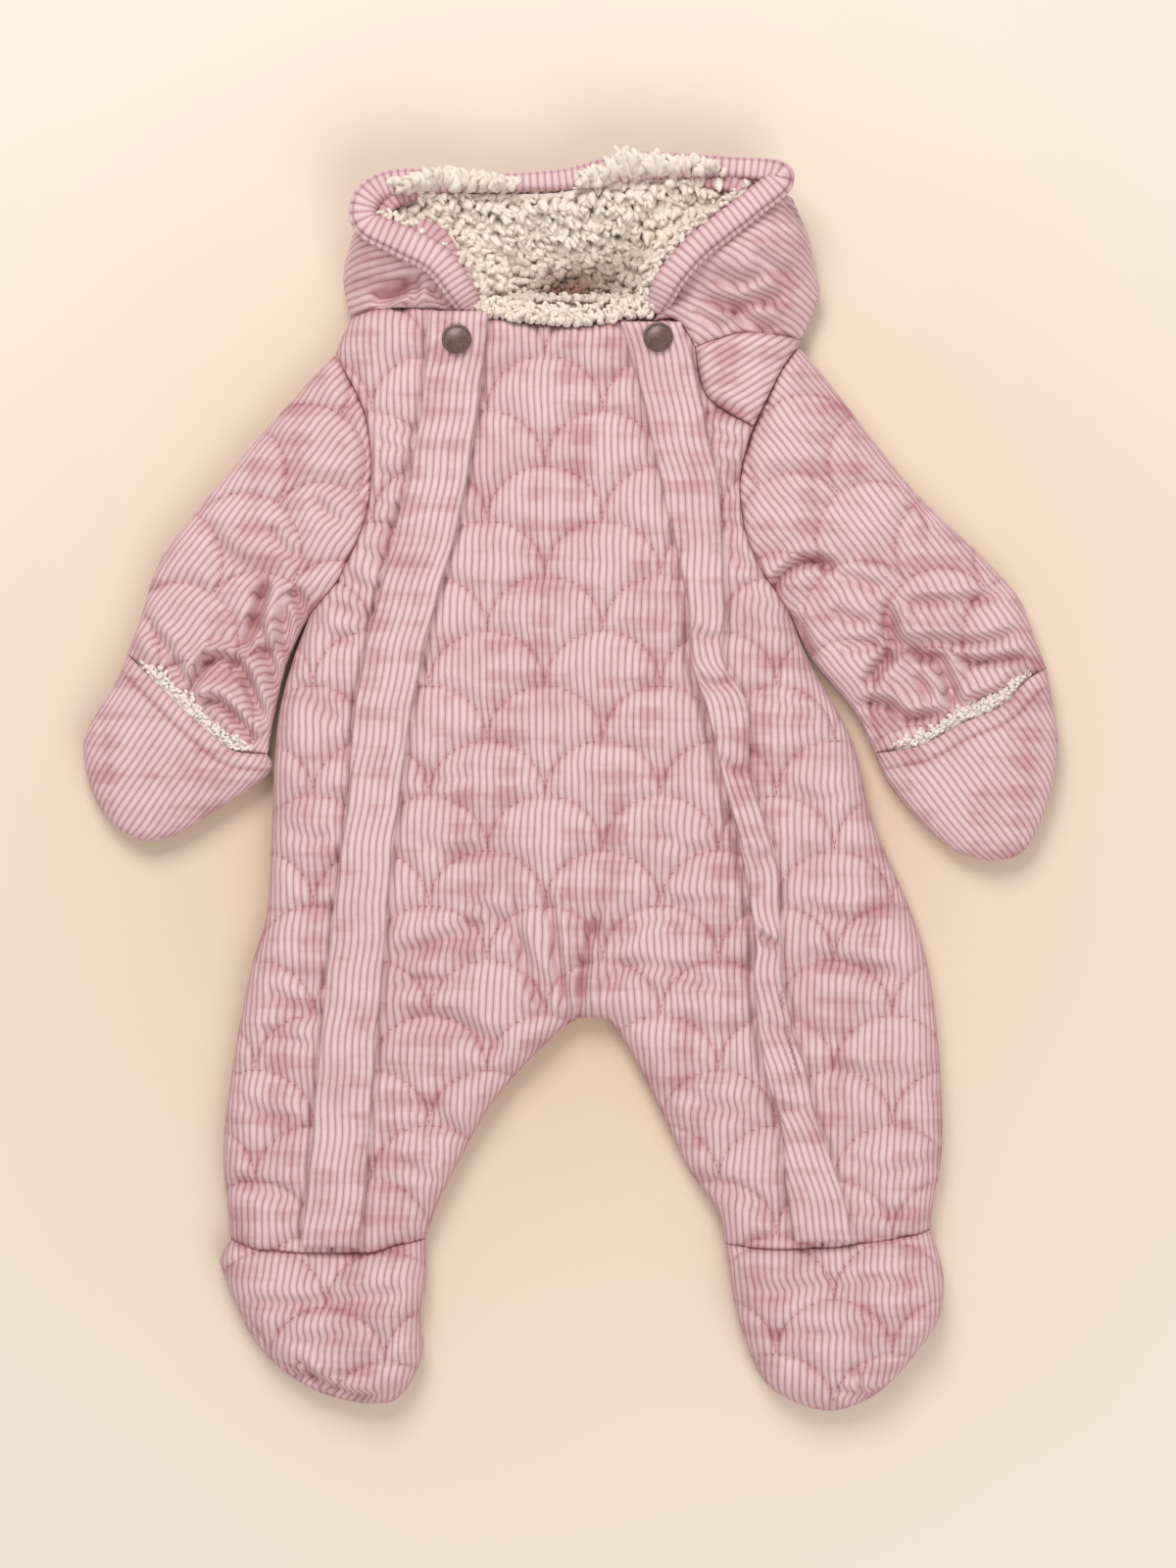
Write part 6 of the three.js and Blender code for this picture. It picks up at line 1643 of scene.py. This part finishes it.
@dataclass
class Hood:
    """The hood: shell, side walls, rim band, curly lining and the lining at the neck."""

    finishes: Finishes
    crown_lift: float = 24.0
    crown_rounding: float = 34.0
    side_wall: float = 8.0

    def __post_init__(self) -> None:
        """Traces the outlines that heights depend on."""
        self.outlines = sides_of((HOOD_OUTLINE_LEFT, HOOD_OUTLINE_RIGHT))
        self.crown = smooth_line(HOOD_CROWN[1:-1], 8.5)

    def shell_bottom(self, xy: np.ndarray) -> np.ndarray:
        """Height of the shell's under face, which curls up at the forehead."""
        share = np.minimum(nearest_on(self.crown, xy)[0] / self.crown_rounding, 1)
        side = np.min([nearest_on(chain, xy)[0] for chain in self.outlines], axis=0)
        side_share = np.minimum(side / UNDERSIDE_ROUNDING, 1)
        return np.maximum(self.crown_lift * (1 - share) ** 2, (SEAM_HEIGHT - HOOD_SHELL) * (1 - side_share) ** 2)

    def lining_bottom(self, xy: np.ndarray) -> np.ndarray:
        """Height of the lining's under face."""
        lifted = 0.3 + 0.7 * smooth_step((xy[:, 1] - 572) / 20)
        return self.shell_bottom(xy) + HOOD_SHELL + 1.9 * lifted

    def build_shell(self) -> None:
        """Makes the shell under the head."""
        shell = Panel(
            "hood_back", (NECK_BACK, HOOD_OUTLINE_LEFT, HOOD_CROWN, HOOD_OUTLINE_RIGHT),
            lambda ground: Look(self.shell_bottom(ground.xy) + HOOD_SHELL - SEAM_GAP / 2),
            lambda ground: Look(self.shell_bottom(ground.xy) + 0.3, 0.6), Ribs(math.pi / 2, 0.3), self.outlines,
            Face.LOWER, along_step=4.0, hidden_step=3.0,
        )
        piece = settle(shell.build(), self.finishes.corduroy, "corduroy", "hood_back")
        width, length, area = shell.cut()

    def build_side(self, name: str, rim: Line, outline: Line, neck: Sequence[Line]) -> None:
        """Makes one side wall, which domes from the neck and the silhouette to the rim.

        Args:
            name: left or right.
            rim: the edge around the face.
            outline: the edge at the silhouette.
            neck: the seams at the neck.
        """
        rim_line, outline_line = smooth_line(rim, 4), smooth_line(outline, 4)

        def dome(xy: np.ndarray) -> np.ndarray:
            """Height of the wall without creases."""
            from_rim = nearest_on(rim_line, xy)[0]
            share = from_rim / np.maximum(from_rim + nearest_on(outline_line, xy)[0], 1e-6)
            base = np.maximum(SEAM_HEIGHT, self.shell_bottom(xy) + HOOD_SHELL + 0.8) + RIM_HEIGHT
            return base + (height_at(HOOD_RIM_HEIGHT, xy[:, 1]) - base) * np.sqrt(1 - share**2)

        def upper(ground: Ground) -> Look:
            """The wall's upper face."""
            folds = fold_relief(HOOD_FOLDS, ground.xy)
            free = rounding(nearest_on(outline_line, ground.xy)[0], 12)
            relief = folds + seam_dip(ground.away) + 0.4 * ripple(ground.xy, 15, 0.8)
            # Painted shade in crease valleys, added to random patches of darker nap.
            painted_shade_and_nap = np.clip(nap(ground.xy, 2.2) - folds / 16, 0, 0.85)
            return Look(dome(ground.xy) + free * relief, 1.0, painted_shade_and_nap, 0.6 * folds)

        def lower(ground: Ground) -> Look:
            """The wall's under face, over the lining."""
            over = 3.2 * smooth_step(nearest_on(outline_line, ground.xy)[0] / UNDERSIDE_ROUNDING)
            lowest = np.maximum(SEAM_HEIGHT + SEAM_GAP / 2 + over, self.shell_bottom(ground.xy) + HOOD_SHELL + 0.8)
            return Look(np.maximum(lowest, dome(ground.xy) - self.side_wall + 0.8 * fold_relief(HOOD_FOLDS, ground.xy)))

        wall = Panel(
            f"hood_side_{name}", (rim, outline, *neck), upper, lower,
            Ribs(-1.35 if name == "left" else 1.0, 1.3), self.outlines, along_step=1.6, hidden_step=4.0,
        )
        piece = settle(wall.build(), self.finishes.corduroy, "corduroy", wall.node)
        width, length, area = wall.cut()

    @staticmethod
    def sweep(parts: MeshParts, points: Line, stout: float, broad: float, dark: float, groove: float) -> tuple:
        """Adds one folded strip, ribs across it, as a hollow tube along a path.

        Args:
            parts: the mesh that it joins.
            points: the strip's middle line, each point with x, y, z and width.
            stout: half its thickness.
            broad: how much broader it is than the path says.
            dark: how much darker the whole strip's colour is made.
            groove: depth of the stitched groove near its outer edge.

        Returns:
            The strip's length and its way round.
        """
        path = smooth_line(points, RIB / RIB_SAMPLES)
        spots, widths, count = path[:, :3], path[:, 3] * broad, len(path)
        run = np.gradient(spots, axis=0)
        way = np.column_stack([run[:, 1], -run[:, 0]]) / np.linalg.norm(run[:, :2], axis=1)[:, None]
        rounds = 24
        angles = 2 * np.pi * np.arange(rounds) / rounds
        steps = np.arange(count)
        number = steps / RIB_SAMPLES + 0.3 * np.sin(steps / 23)
        swell = 0.6 * np.sin(steps / 31) + 0.4 * np.sin(steps / 11.3)
        out = widths[:, None] / 2 * np.sign(np.cos(angles)) * np.abs(np.cos(angles)) ** 0.62
        up = stout * np.sign(np.sin(angles)) * np.abs(np.sin(angles)) ** 0.8
        sunk = groove * np.exp(-(((angles - 2.36) / 0.2) ** 2))
        grow = RIB_HEIGHT * 0.9 * (rib_profile(number) - 0.6)[:, None] - sunk[None, :]
        middle = np.column_stack([spots[:, :2], spots[:, 2] + swell])[:, None, :]
        tube = np.zeros((count, rounds, 3))
        tube[:, :, :2] = (out + grow * np.cos(angles))[:, :, None] * way[:, None, :]
        tube[:, :, 2] = up[None, :] + grow * np.sin(angles)[None, :]
        grid = np.arange(count * rounds).reshape(count, rounds)
        beside = np.roll(grid, -1, axis=1)
        a, b, c, d = grid[:-1].ravel(), beside[:-1].ravel(), beside[1:].ravel(), grid[1:].ravel()
        faces = np.vstack([np.column_stack([a, d, b]), np.column_stack([b, d, c])])
        ribs = np.column_stack([np.repeat(number, rounds), np.tile(angles * 2, count)])
        # Painted shade on the strip's inner flank, which faces the hollow, and in its stitched groove.
        painted_shade_and_nap = np.clip(0.8 * np.cos(angles) - 0.3, 0, 1) + 0.6 * (sunk > 0.8) + dark
        painted_shade_and_nap = np.tile(np.clip(painted_shade_and_nap, 0, 1), count)
        first = parts.add((middle + tube).reshape(-1, 3), faces, ribs, painted_shade_and_nap)
        second = parts.add((middle + 0.72 * tube).reshape(-1, 3), faces[:, ::-1], ribs, painted_shade_and_nap)
        for ring, flip in ((grid[0], False), (grid[-1], True)):
            after = np.roll(ring, -1)
            wall = np.vstack([
                np.column_stack([first + ring, first + after, second + after]),
                np.column_stack([first + ring, second + after, second + ring]),
            ])
            parts.add_faces(wall[:, ::-1] if flip else wall)
        around = float(2 * np.pi * np.sqrt((np.mean(widths) ** 2 / 4 + stout**2) / 2))
        return float(np.linalg.norm(np.diff(spots, axis=0), axis=1).sum()), around

    def build_band(self) -> None:
        """Makes the rim band, with its facing where it turns in."""
        parts = MeshParts()
        length, around = self.sweep(parts, BAND_PATH, 5.4, 1.16, 0.0, 1.7)
        for path in FACING_PATHS:
            more, _ = self.sweep(parts, path, 3.2, 1.0, 0.45, 0.0)
            length += 0.6 * more
        piece = settle(parts.make("hood_band_cloth"), self.finishes.corduroy, "corduroy", "hood_band")

    def pile_top(self, xy: np.ndarray) -> np.ndarray:
        """Height of the pile's ground, which climbs from the hollow up the walls to the rim.

        Args:
            xy: points of the plan.

        Returns:
            The heights.
        """
        path = smooth_line(BAND_PATH, 4)
        far, along, _ = nearest_on(path[:, :2], xy)
        inside = is_inside(path[:, :2], xy)
        rim = np.interp(along, np.linspace(0, 1, len(path)), path[:, 2]) - 8
        floor = self.lining_bottom(xy) + HOOD_LINING - 1
        share = np.where(inside, 1 - smooth_step((far - 5) / 27), smooth_step((7 - far) / 7))
        hollow = 8 * np.exp(-(((xy[:, 0] - 10) / 22) ** 2 + ((xy[:, 1] - 576) / 11) ** 2))
        valleys = fold_relief(PILE_FOLDS, xy) * smooth_step(share * 4)
        return np.maximum(floor + np.maximum(rim - floor, 0) * share - hollow + valleys + 0.7 * ripple(xy, 6, 0.5), floor - 3)

    def build_lining(self) -> None:
        """Makes the curly lining: a lumpy ground with locks all over what shows of it."""
        rng = np.random.default_rng(7)
        ground_panel = Panel(
            "hood_lining", (LINING_NECK, LINING_SIDE_LEFT, LINING_CROWN, LINING_SIDE_RIGHT),
            lambda ground: Look(self.pile_top(ground.xy)),
            lambda ground: Look(self.lining_bottom(ground.xy)), Ribs(0, 0), self.outlines, hidden_step=2.5,
        )
        outline = ground_panel.outline()
        parts = self.bare_ground(ground_panel, outline)
        lock = Lock.shape()
        spacing = 2.6
        grid = np.array([
            (x + (row % 2) * spacing / 2, y)
            for row, y in enumerate(np.arange(546, 628, spacing * 0.87))
            for x in np.arange(-104, 106, spacing)
        ])
        grid = grid + rng.uniform(-1, 1, grid.shape)
        path = smooth_line(BAND_PATH, 4)[:, :2]
        under_neck = (np.abs(grid[:, 0] + 6) < 46) & (grid[:, 1] < 575)
        shows = is_inside(path, grid) | (nearest_on(path, grid)[0] < 4) | under_neck
        grid = grid[is_inside(inset(outline, 0.6), grid) & shows]
        # Each lock gets the painted shade of the hollow where it stands.
        for spot, z, deep in zip(grid, self.pile_top(grid) - 1.9, self.hollow_shade(grid)):
            x, y = spot
            upper = float(smooth_step((y - 588) / 16))
            lean = np.array([-0.25 * x / 100, -0.5 - 0.3 * upper]) + rng.normal(0, 0.32, 2)
            way = np.array([*lean, rng.uniform(0.22, 0.65)])
            length = rng.uniform(6.5, 9.0) + rng.uniform(1.0, 4.0) * upper
            lock.place(parts, np.array([x, y, z]), way, length, rng.uniform(2.1, 3.0), rng, deep)
        self.add_fringe(parts, lock, rng)
        piece = settle(parts.make("hood_lining_pile"), self.finishes.sherpa, "pile", "hood_lining")

    @staticmethod
    def hollow_shade(xy: np.ndarray) -> np.ndarray:
        """Painted shade on the locks, from 0 at the rim to about 0.6 deep in the hollow, and more in the pile's fold
        valleys.
        """
        hollow = 0.95 * np.exp(-(((xy[:, 0] - 1) / 21) ** 2 + ((xy[:, 1] - 578) / 12) ** 2))
        hollow = hollow + 0.35 * np.exp(-(((xy[:, 0] - 24) / 12) ** 2 + ((xy[:, 1] - 590) / 10) ** 2))
        return hollow - fold_relief(PILE_FOLDS, xy) / 22

    @staticmethod
    def bare_ground(panel: Panel, outline: np.ndarray) -> MeshParts:
        """The closed knitted ground that the locks stand on.

        Args:
            panel: the lining's panel.
            outline: its outline.

        Returns:
            The ground's points and faces, for the locks to join.
        """
        upper = panel.face(outline, panel.upper, False)
        lower = panel.face(outline, panel.lower, False)
        parts = MeshParts()
        # The ground between the locks gets a little painted shade.
        first = parts.add(upper[0], upper[1], painted_shade_and_nap=0.1)
        second = parts.add(lower[0], lower[1][:, ::-1], painted_shade_and_nap=0.1)
        top, low = upper[2] + first, lower[2] + second
        parts.add_faces(np.column_stack([top, low, np.roll(low, -1)]))
        parts.add_faces(np.column_stack([top, np.roll(low, -1), np.roll(top, -1)]))
        return parts

    @staticmethod
    def add_fringe(parts: MeshParts, lock: "Lock", rng: np.random.Generator) -> None:
        """Adds the locks that peep out along the rim band and over it at the forehead.

        Args:
            parts: the lining's mesh.
            lock: the lock's shape.
            rng: the source of chance.
        """
        path = smooth_line(BAND_PATH, 1.9)
        run = np.gradient(path[:, :2], axis=0)
        normal = np.column_stack([run[:, 1], -run[:, 0]]) / np.linalg.norm(run, axis=1)[:, None]
        for (x, y, z, width), inward in zip(path[2:-2], normal[2:-2]):
            top = y > 617
            facing = (x < -84 and y > 600) or (x > 74 and y > 614)
            for level in () if facing else (0.25, 0.62, 1.0):
                out = 0.5 * width + rng.uniform(0.2, 2.0)
                root = np.array([x + inward[0] * out, y + inward[1] * out, z - 11 + 7.5 * level])
                lean = np.array([*(inward * rng.uniform(0.1, 0.9) + rng.normal(0, 0.4, 2)), rng.uniform(0.3, 0.9)])
                lock.place(parts, root, lean, rng.uniform(4.5, 7.5), rng.uniform(1.7, 2.6), rng, 0.04)
            tall = 6.0 * math.exp(-(((x + 62) / 24) ** 2)) + 10.5 * math.exp(-(((x - 27) / 19) ** 2))
            tall += 4.0 * math.exp(-(((x - 56) / 12) ** 2))
            for _ in range(3 if top and tall > 1.2 else 0):
                root = np.array([x + rng.normal(0, 1.4), y - 0.5 * width - rng.uniform(-2.5, 2), z + rng.uniform(1, 7)])
                lean = np.array([rng.normal(0, 0.3), rng.uniform(0.6, 1.0), rng.uniform(0.15, 0.55)])
                lock.place(parts, root, lean, 5 + tall * rng.uniform(0.7, 1.1), rng.uniform(2.2, 3.3), rng, 0.0)

    def build_neck_lining(self) -> None:
        """Makes the curly lining that shows over the front's neck edge."""
        rng = np.random.default_rng(19)
        panel = Panel(
            "neck_lining", (PILE_NECK_TOP, PILE_NECK_BOTTOM),
            lambda ground: Look(SEAM_HEIGHT + neck_rise(ground.y) + 10.0 + 0.4 * ripple(ground.xy, 4, 0.2)),
            lambda ground: Look(SEAM_HEIGHT + neck_rise(ground.y) + 1.2), Ribs(0, 0), [self.crown],
            hidden_step=2.5,
        )
        parts = self.bare_ground(panel, panel.outline())
        lock = Lock.shape()
        edge = smooth_line(PILE_NECK_BOTTOM, 2.1)
        for x, y in edge:
            for level in range(5):
                root = np.array([x + rng.normal(0, 0.9), y - 1.2 + level * 1.8, 27.2 - 0.6 * level])
                way = np.array([rng.normal(0, 0.5), rng.uniform(0.35, 1.0), rng.uniform(0.25, 0.9)])
                lock.place(parts, root, way, rng.uniform(4.5, 7.5), rng.uniform(1.5, 2.4), rng, 0.0)
        # These locks lean down into the hood and get painted shade.
        for x, y in smooth_line(PILE_NECK_TOP, 2.2)[2:-2]:
            for level in range(4):
                root = np.array([x + rng.normal(0, 0.9), y - 1.2, 26 - 2.5 * level])
                way = np.array([rng.normal(0, 0.5), rng.uniform(0.5, 1.0), rng.uniform(-0.6, 0.3)])
                lock.place(parts, root, way, rng.uniform(4.0, 6.0), rng.uniform(1.7, 2.5), rng, 0.2)
        piece = settle(parts.make("neck_lining_pile"), self.finishes.sherpa, "pile", "neck_lining")

    def build(self) -> None:
        """Makes the whole hood."""
        self.build_shell()
        self.build_lining()
        self.build_neck_lining()
        left = ((-116.5, 558), (-120.5, 577.5), (-118, 592.5), (-112, 606), (-97, 613))
        right = ((114, 547), (123.5, 570), (121, 582.5), (117, 603), (104, 617))
        self.build_side("left", HOOD_RIM_LEFT, left, (NECK_SIDE_LEFT, ((-61, 560), (-64, 567.5))))
        self.build_side(
            "right", HOOD_RIM_RIGHT, right, (SHOULDER_PIECE_TOP, NECK_SIDE_RIGHT, ((38, 555.5), (43, 563), (50, 571))),
        )
        self.build_band()


@dataclass
class Sewing:
    """The stitches that show: the quilting's lines and the rows along the mitts' hems."""

    finishes: Finishes
    length: float = 2.4
    step: float = 3.3
    thick: float = 0.42

    def shape(self) -> tuple[np.ndarray, np.ndarray]:
        """One stitch, lying along x, one long and one thick."""
        bpy.ops.object.select_all(action="DESELECT")
        bpy.ops.mesh.primitive_uv_sphere_add(segments=6, ring_count=4, radius=0.5, rotation=(0, math.pi / 2, 0))
        ball = bpy.context.object
        bpy.ops.object.transform_apply(location=False, rotation=True, scale=False)
        bpy.ops.object.mode_set(mode="EDIT")
        bpy.ops.mesh.select_all(action="SELECT")
        bpy.ops.mesh.quads_convert_to_tris()
        bpy.ops.object.mode_set(mode="OBJECT")
        points = np.array([tuple(v.co) for v in ball.data.vertices])
        faces = np.array([tuple(p.vertices) for p in ball.data.polygons], int)
        bpy.data.objects.remove(ball, do_unlink=True)
        return points, faces

    def rows(self, parts: MeshParts, spots: np.ndarray, ways: np.ndarray, heights: np.ndarray) -> None:
        """Sets down stitches.

        Args:
            parts: the mesh that they join.
            spots: their places in the plan.
            ways: unit vectors along them.
            heights: the cloth's height under them.
        """
        points, faces = self.shape()
        count = len(points)
        along = points[:, 0] * self.length
        across = points[:, 1] * self.thick
        up = points[:, 2] * self.thick
        x = spots[:, :1] + ways[:, :1] * along[None] - ways[:, 1:] * across[None]
        y = spots[:, 1:] + ways[:, 1:] * along[None] + ways[:, :1] * across[None]
        z = heights[:, None] + up[None] + 0.12
        every = np.stack([x, y, z], axis=2).reshape(-1, 3)
        all_faces = (faces[None] + np.arange(len(spots))[:, None, None] * count).reshape(-1, 3)
        parts.add(every, all_faces)

    def quilting(self, panel: Panel, quilt: Quilt) -> bpy.types.Object | None:
        """The quilting stitches of one panel, as one piece.

        Args:
            panel: the quilted panel.
            quilt: its quilting.

        Returns:
            The piece of thread.
        """
        outline = panel.outline()
        spots, ways = quilt.stitch_spots(560, self.step)
        near = np.all((spots > outline.min(0)) & (spots < outline.max(0)), axis=1)
        spots, ways = spots[near], ways[near]
        inside = is_inside(inset(outline, 2.0), spots)
        spots, ways = spots[inside], ways[inside]
        ground = measure(spots, outline, panel.sides)
        look = panel.upper(ground)
        shown = (ground.side > 5) & (under_placket(spots) < 0.01)
        heights = look.height + panel.rib_height * (rib_profile(panel.ribs.phase(spots)) * 0.5 - 0.1)
        parts = MeshParts()
        self.rows(parts, spots[shown], ways[shown], heights[shown])
        return settle(parts.make(f"{panel.node}_quilting_thread"), self.finishes.thread, "corduroy")

    def zigzag(self, placket: Placket) -> bpy.types.Object:
        """The wavy line of stitches low on the right placket.

        Args:
            placket: the right placket.

        Returns:
            The piece of thread.
        """
        line = smooth_line(((102.5, 216), (106, 196), (112, 171)), 1.5)
        steps = np.arange(len(line))
        spots = line + np.column_stack([1.1 * np.where(steps % 2, 1, -1), np.zeros(len(line))])
        ways = np.diff(spots, axis=0)
        spots = (spots[1:] + spots[:-1]) / 2
        side = measure(spots, spots, BODY_SIDES).side
        top = body_surface(side, spots[:, 1]) + placket.lift(*spots.T) + PLACKET_THICKNESS + 0.25
        parts = MeshParts()
        self.rows(parts, spots, ways / np.linalg.norm(ways, axis=1)[:, None], top)
        return settle(parts.make("placket_right_thread"), self.finishes.thread, "corduroy")

    def hem(self, arm: Arm) -> bpy.types.Object:
        """The stitches along a mitt's hem."""
        panel = arm.panels[f"mitt_front_{arm.name}"]
        parts = MeshParts()
        for row in arm.hem:
            line = smooth_line(arm.mouth, self.step)
            run = np.gradient(line, axis=0)
            run /= np.linalg.norm(run, axis=1)[:, None]
            normal = np.column_stack([-run[:, 1], run[:, 0]])
            normal *= -np.sign(normal @ np.array(arm.into_sleeve))[:, None]
            spots = line + normal * row
            inside = is_inside(inset(panel.outline(), 3), spots)
            spots, ways = spots[inside], run[inside]
            look = panel.upper(measure(spots, panel.outline(), panel.sides))
            self.rows(parts, spots, ways, look.height + 0.1)
        return settle(parts.make(f"mitt_hem_{arm.name}_thread"), self.finishes.thread, "corduroy")


@dataclass
class Studio:
    """A pale floor, darker towards the suit in painted shadow, soft light from above, and the camera straight over the
    suit.
    """

    height: float = 1.9
    seen_length: float = 0.8
    seen_at: float = 0.02
    centre: Spot = (0.00875, 0.00075)

    def build_floor(self) -> None:
        """Makes the floor, its colour darker near the middle where the suit lies: painted shadow."""
        bpy.ops.object.select_all(action="DESELECT")
        bpy.ops.mesh.primitive_plane_add(size=6, location=(0, 0, -0.0002))
        floor = bpy.context.object
        floor.name = "floor"
        material = bpy.data.materials.new("paper_floor_cream_painted_shadow")
        material.use_nodes = True
        tree = material.node_tree
        tree.nodes.clear()
        place = add_node(tree, "ShaderNodeTexCoord").outputs["Object"]
        far = add_node(tree, "ShaderNodeVectorMath", {"operation": "LENGTH"}, {0: place})
        noise = add_node(tree, "ShaderNodeTexNoise", inputs={"Vector": place, "Scale": 3.0, "Detail": 2.0})
        painted_shadow_fac = add_node(tree, "ShaderNodeMath", {"operation": "MULTIPLY_ADD"}, {0: noise.outputs["Fac"], 1: 0.1, 2: far.outputs["Value"]})
        # Painted shadow: the floor's colour darkens towards the middle, where the suit lies, with a little random tone.
        colour = add_node(tree, "ShaderNodeValToRGB", inputs={"Fac": painted_shadow_fac.outputs[0]})
        set_stops(colour, ((0.13, "#CFB59B"), (0.27, "#E0CBB5"), (0.5, "#E5D8C8")))
        shader = add_node(
            tree, "ShaderNodeBsdfPrincipled",
            inputs={"Base Color": colour.outputs["Color"], "Roughness": 0.85, "Specular IOR Level": 0.2},
        )
        add_node(tree, "ShaderNodeOutputMaterial", inputs={"Surface": shader.outputs[0]})
        floor.data.materials.append(material)

    def build_lights(self) -> None:
        """Makes a soft key from beyond the hood, a fill from the right, and an even dome."""
        for name, place, size, power in (("key", (-0.4, 1.3, 1.7), 1.0, 31.0), ("fill", (0.7, -1.1, 1.8), 1.5, 21.0)):
            bpy.ops.object.light_add(type="AREA", location=place)
            light = bpy.context.object
            light.name = name
            light.data.size = size
            light.data.energy = power
            light.rotation_euler = (-Vector(place)).to_track_quat("-Z", "Y").to_euler()
        world = bpy.data.worlds.new("soft_room")
        world.use_nodes = True
        background = world.node_tree.nodes["Background"]
        background.inputs["Color"].default_value = linear("#FFFFFF")
        background.inputs["Strength"].default_value = 0.42
        bpy.context.scene.world = world

    def build_camera(self) -> None:
        """Makes the camera."""
        bpy.ops.object.camera_add(location=(self.centre[0], self.centre[1], self.height), rotation=(0, 0, 0))
        camera = bpy.context.object
        camera.name = "camera"
        camera.data.sensor_width = 36
        camera.data.lens = 36 * (self.height - self.seen_at) / self.seen_length
        camera.data.dof.use_dof = False
        bpy.context.scene.camera = camera

    def build(self) -> None:
        """Makes the whole studio."""
        self.build_floor()
        self.build_lights()
        self.build_camera()
        bpy.context.scene.view_settings.view_transform = "Standard"


def make_arms(finishes: Finishes) -> list[Arm]:
    """Both arms."""
    return [
        Arm(
            finishes, "left", (ARMHOLE_LEFT,), SLEEVE_OUTER_LEFT, SLEEVE_INNER_LEFT, MOUTH_LEFT, MITT_LEFT,
            SLEEVE_FOLDS_LEFT, Quilt(-170, 440, -0.62), (0.62, 0.78), Ribs(-0.62),
        ),
        Arm(
            finishes, "right", (ARMHOLE_RIGHT_TOP, ARMHOLE_RIGHT), SLEEVE_OUTER_RIGHT, SLEEVE_INNER_RIGHT,
            MOUTH_RIGHT, MITT_RIGHT, SLEEVE_FOLDS_RIGHT, Quilt(150, 446, 0.66), (-0.45, 0.89), Ribs(0.66),
        ),
    ]


def main() -> None:
    """Builds the suit in order."""
    logging.basicConfig(level=logging.INFO, format="%(name)s %(message)s")
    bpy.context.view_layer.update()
    finishes = Finishes.make()
    Studio().build()
    body = Body(finishes)
    body.build()
    arms = make_arms(finishes)
    for arm in arms:
        arm.build()
    Placket(finishes, "left", PLACKET_LEFT_ROWS).build()
    right_placket = Placket(finishes, "right", PLACKET_RIGHT_ROWS, ripple_height=5.5, flow=PLACKET_FOLDS)
    right_placket.build()
    for node in SNAP_SPOTS:
        SnapCap(finishes, node).build()
    Hood(finishes).build()
    sewing = Sewing(finishes)
    for node in ("front_center", "front_side_left", "front_side_right"):
        sewing.quilting(body.panels[node], FRONT_QUILT)
    sewing.zigzag(right_placket)
    for arm in arms:
        sewing.quilting(arm.panels[f"sleeve_upper_{arm.name}"], arm.quilt)
        sewing.hem(arm)
        sewing.quilting(body.panels[f"foot_upper_{arm.name}"], FOOT_QUILTS[arm.name])


if __name__ == "__main__":
    main()
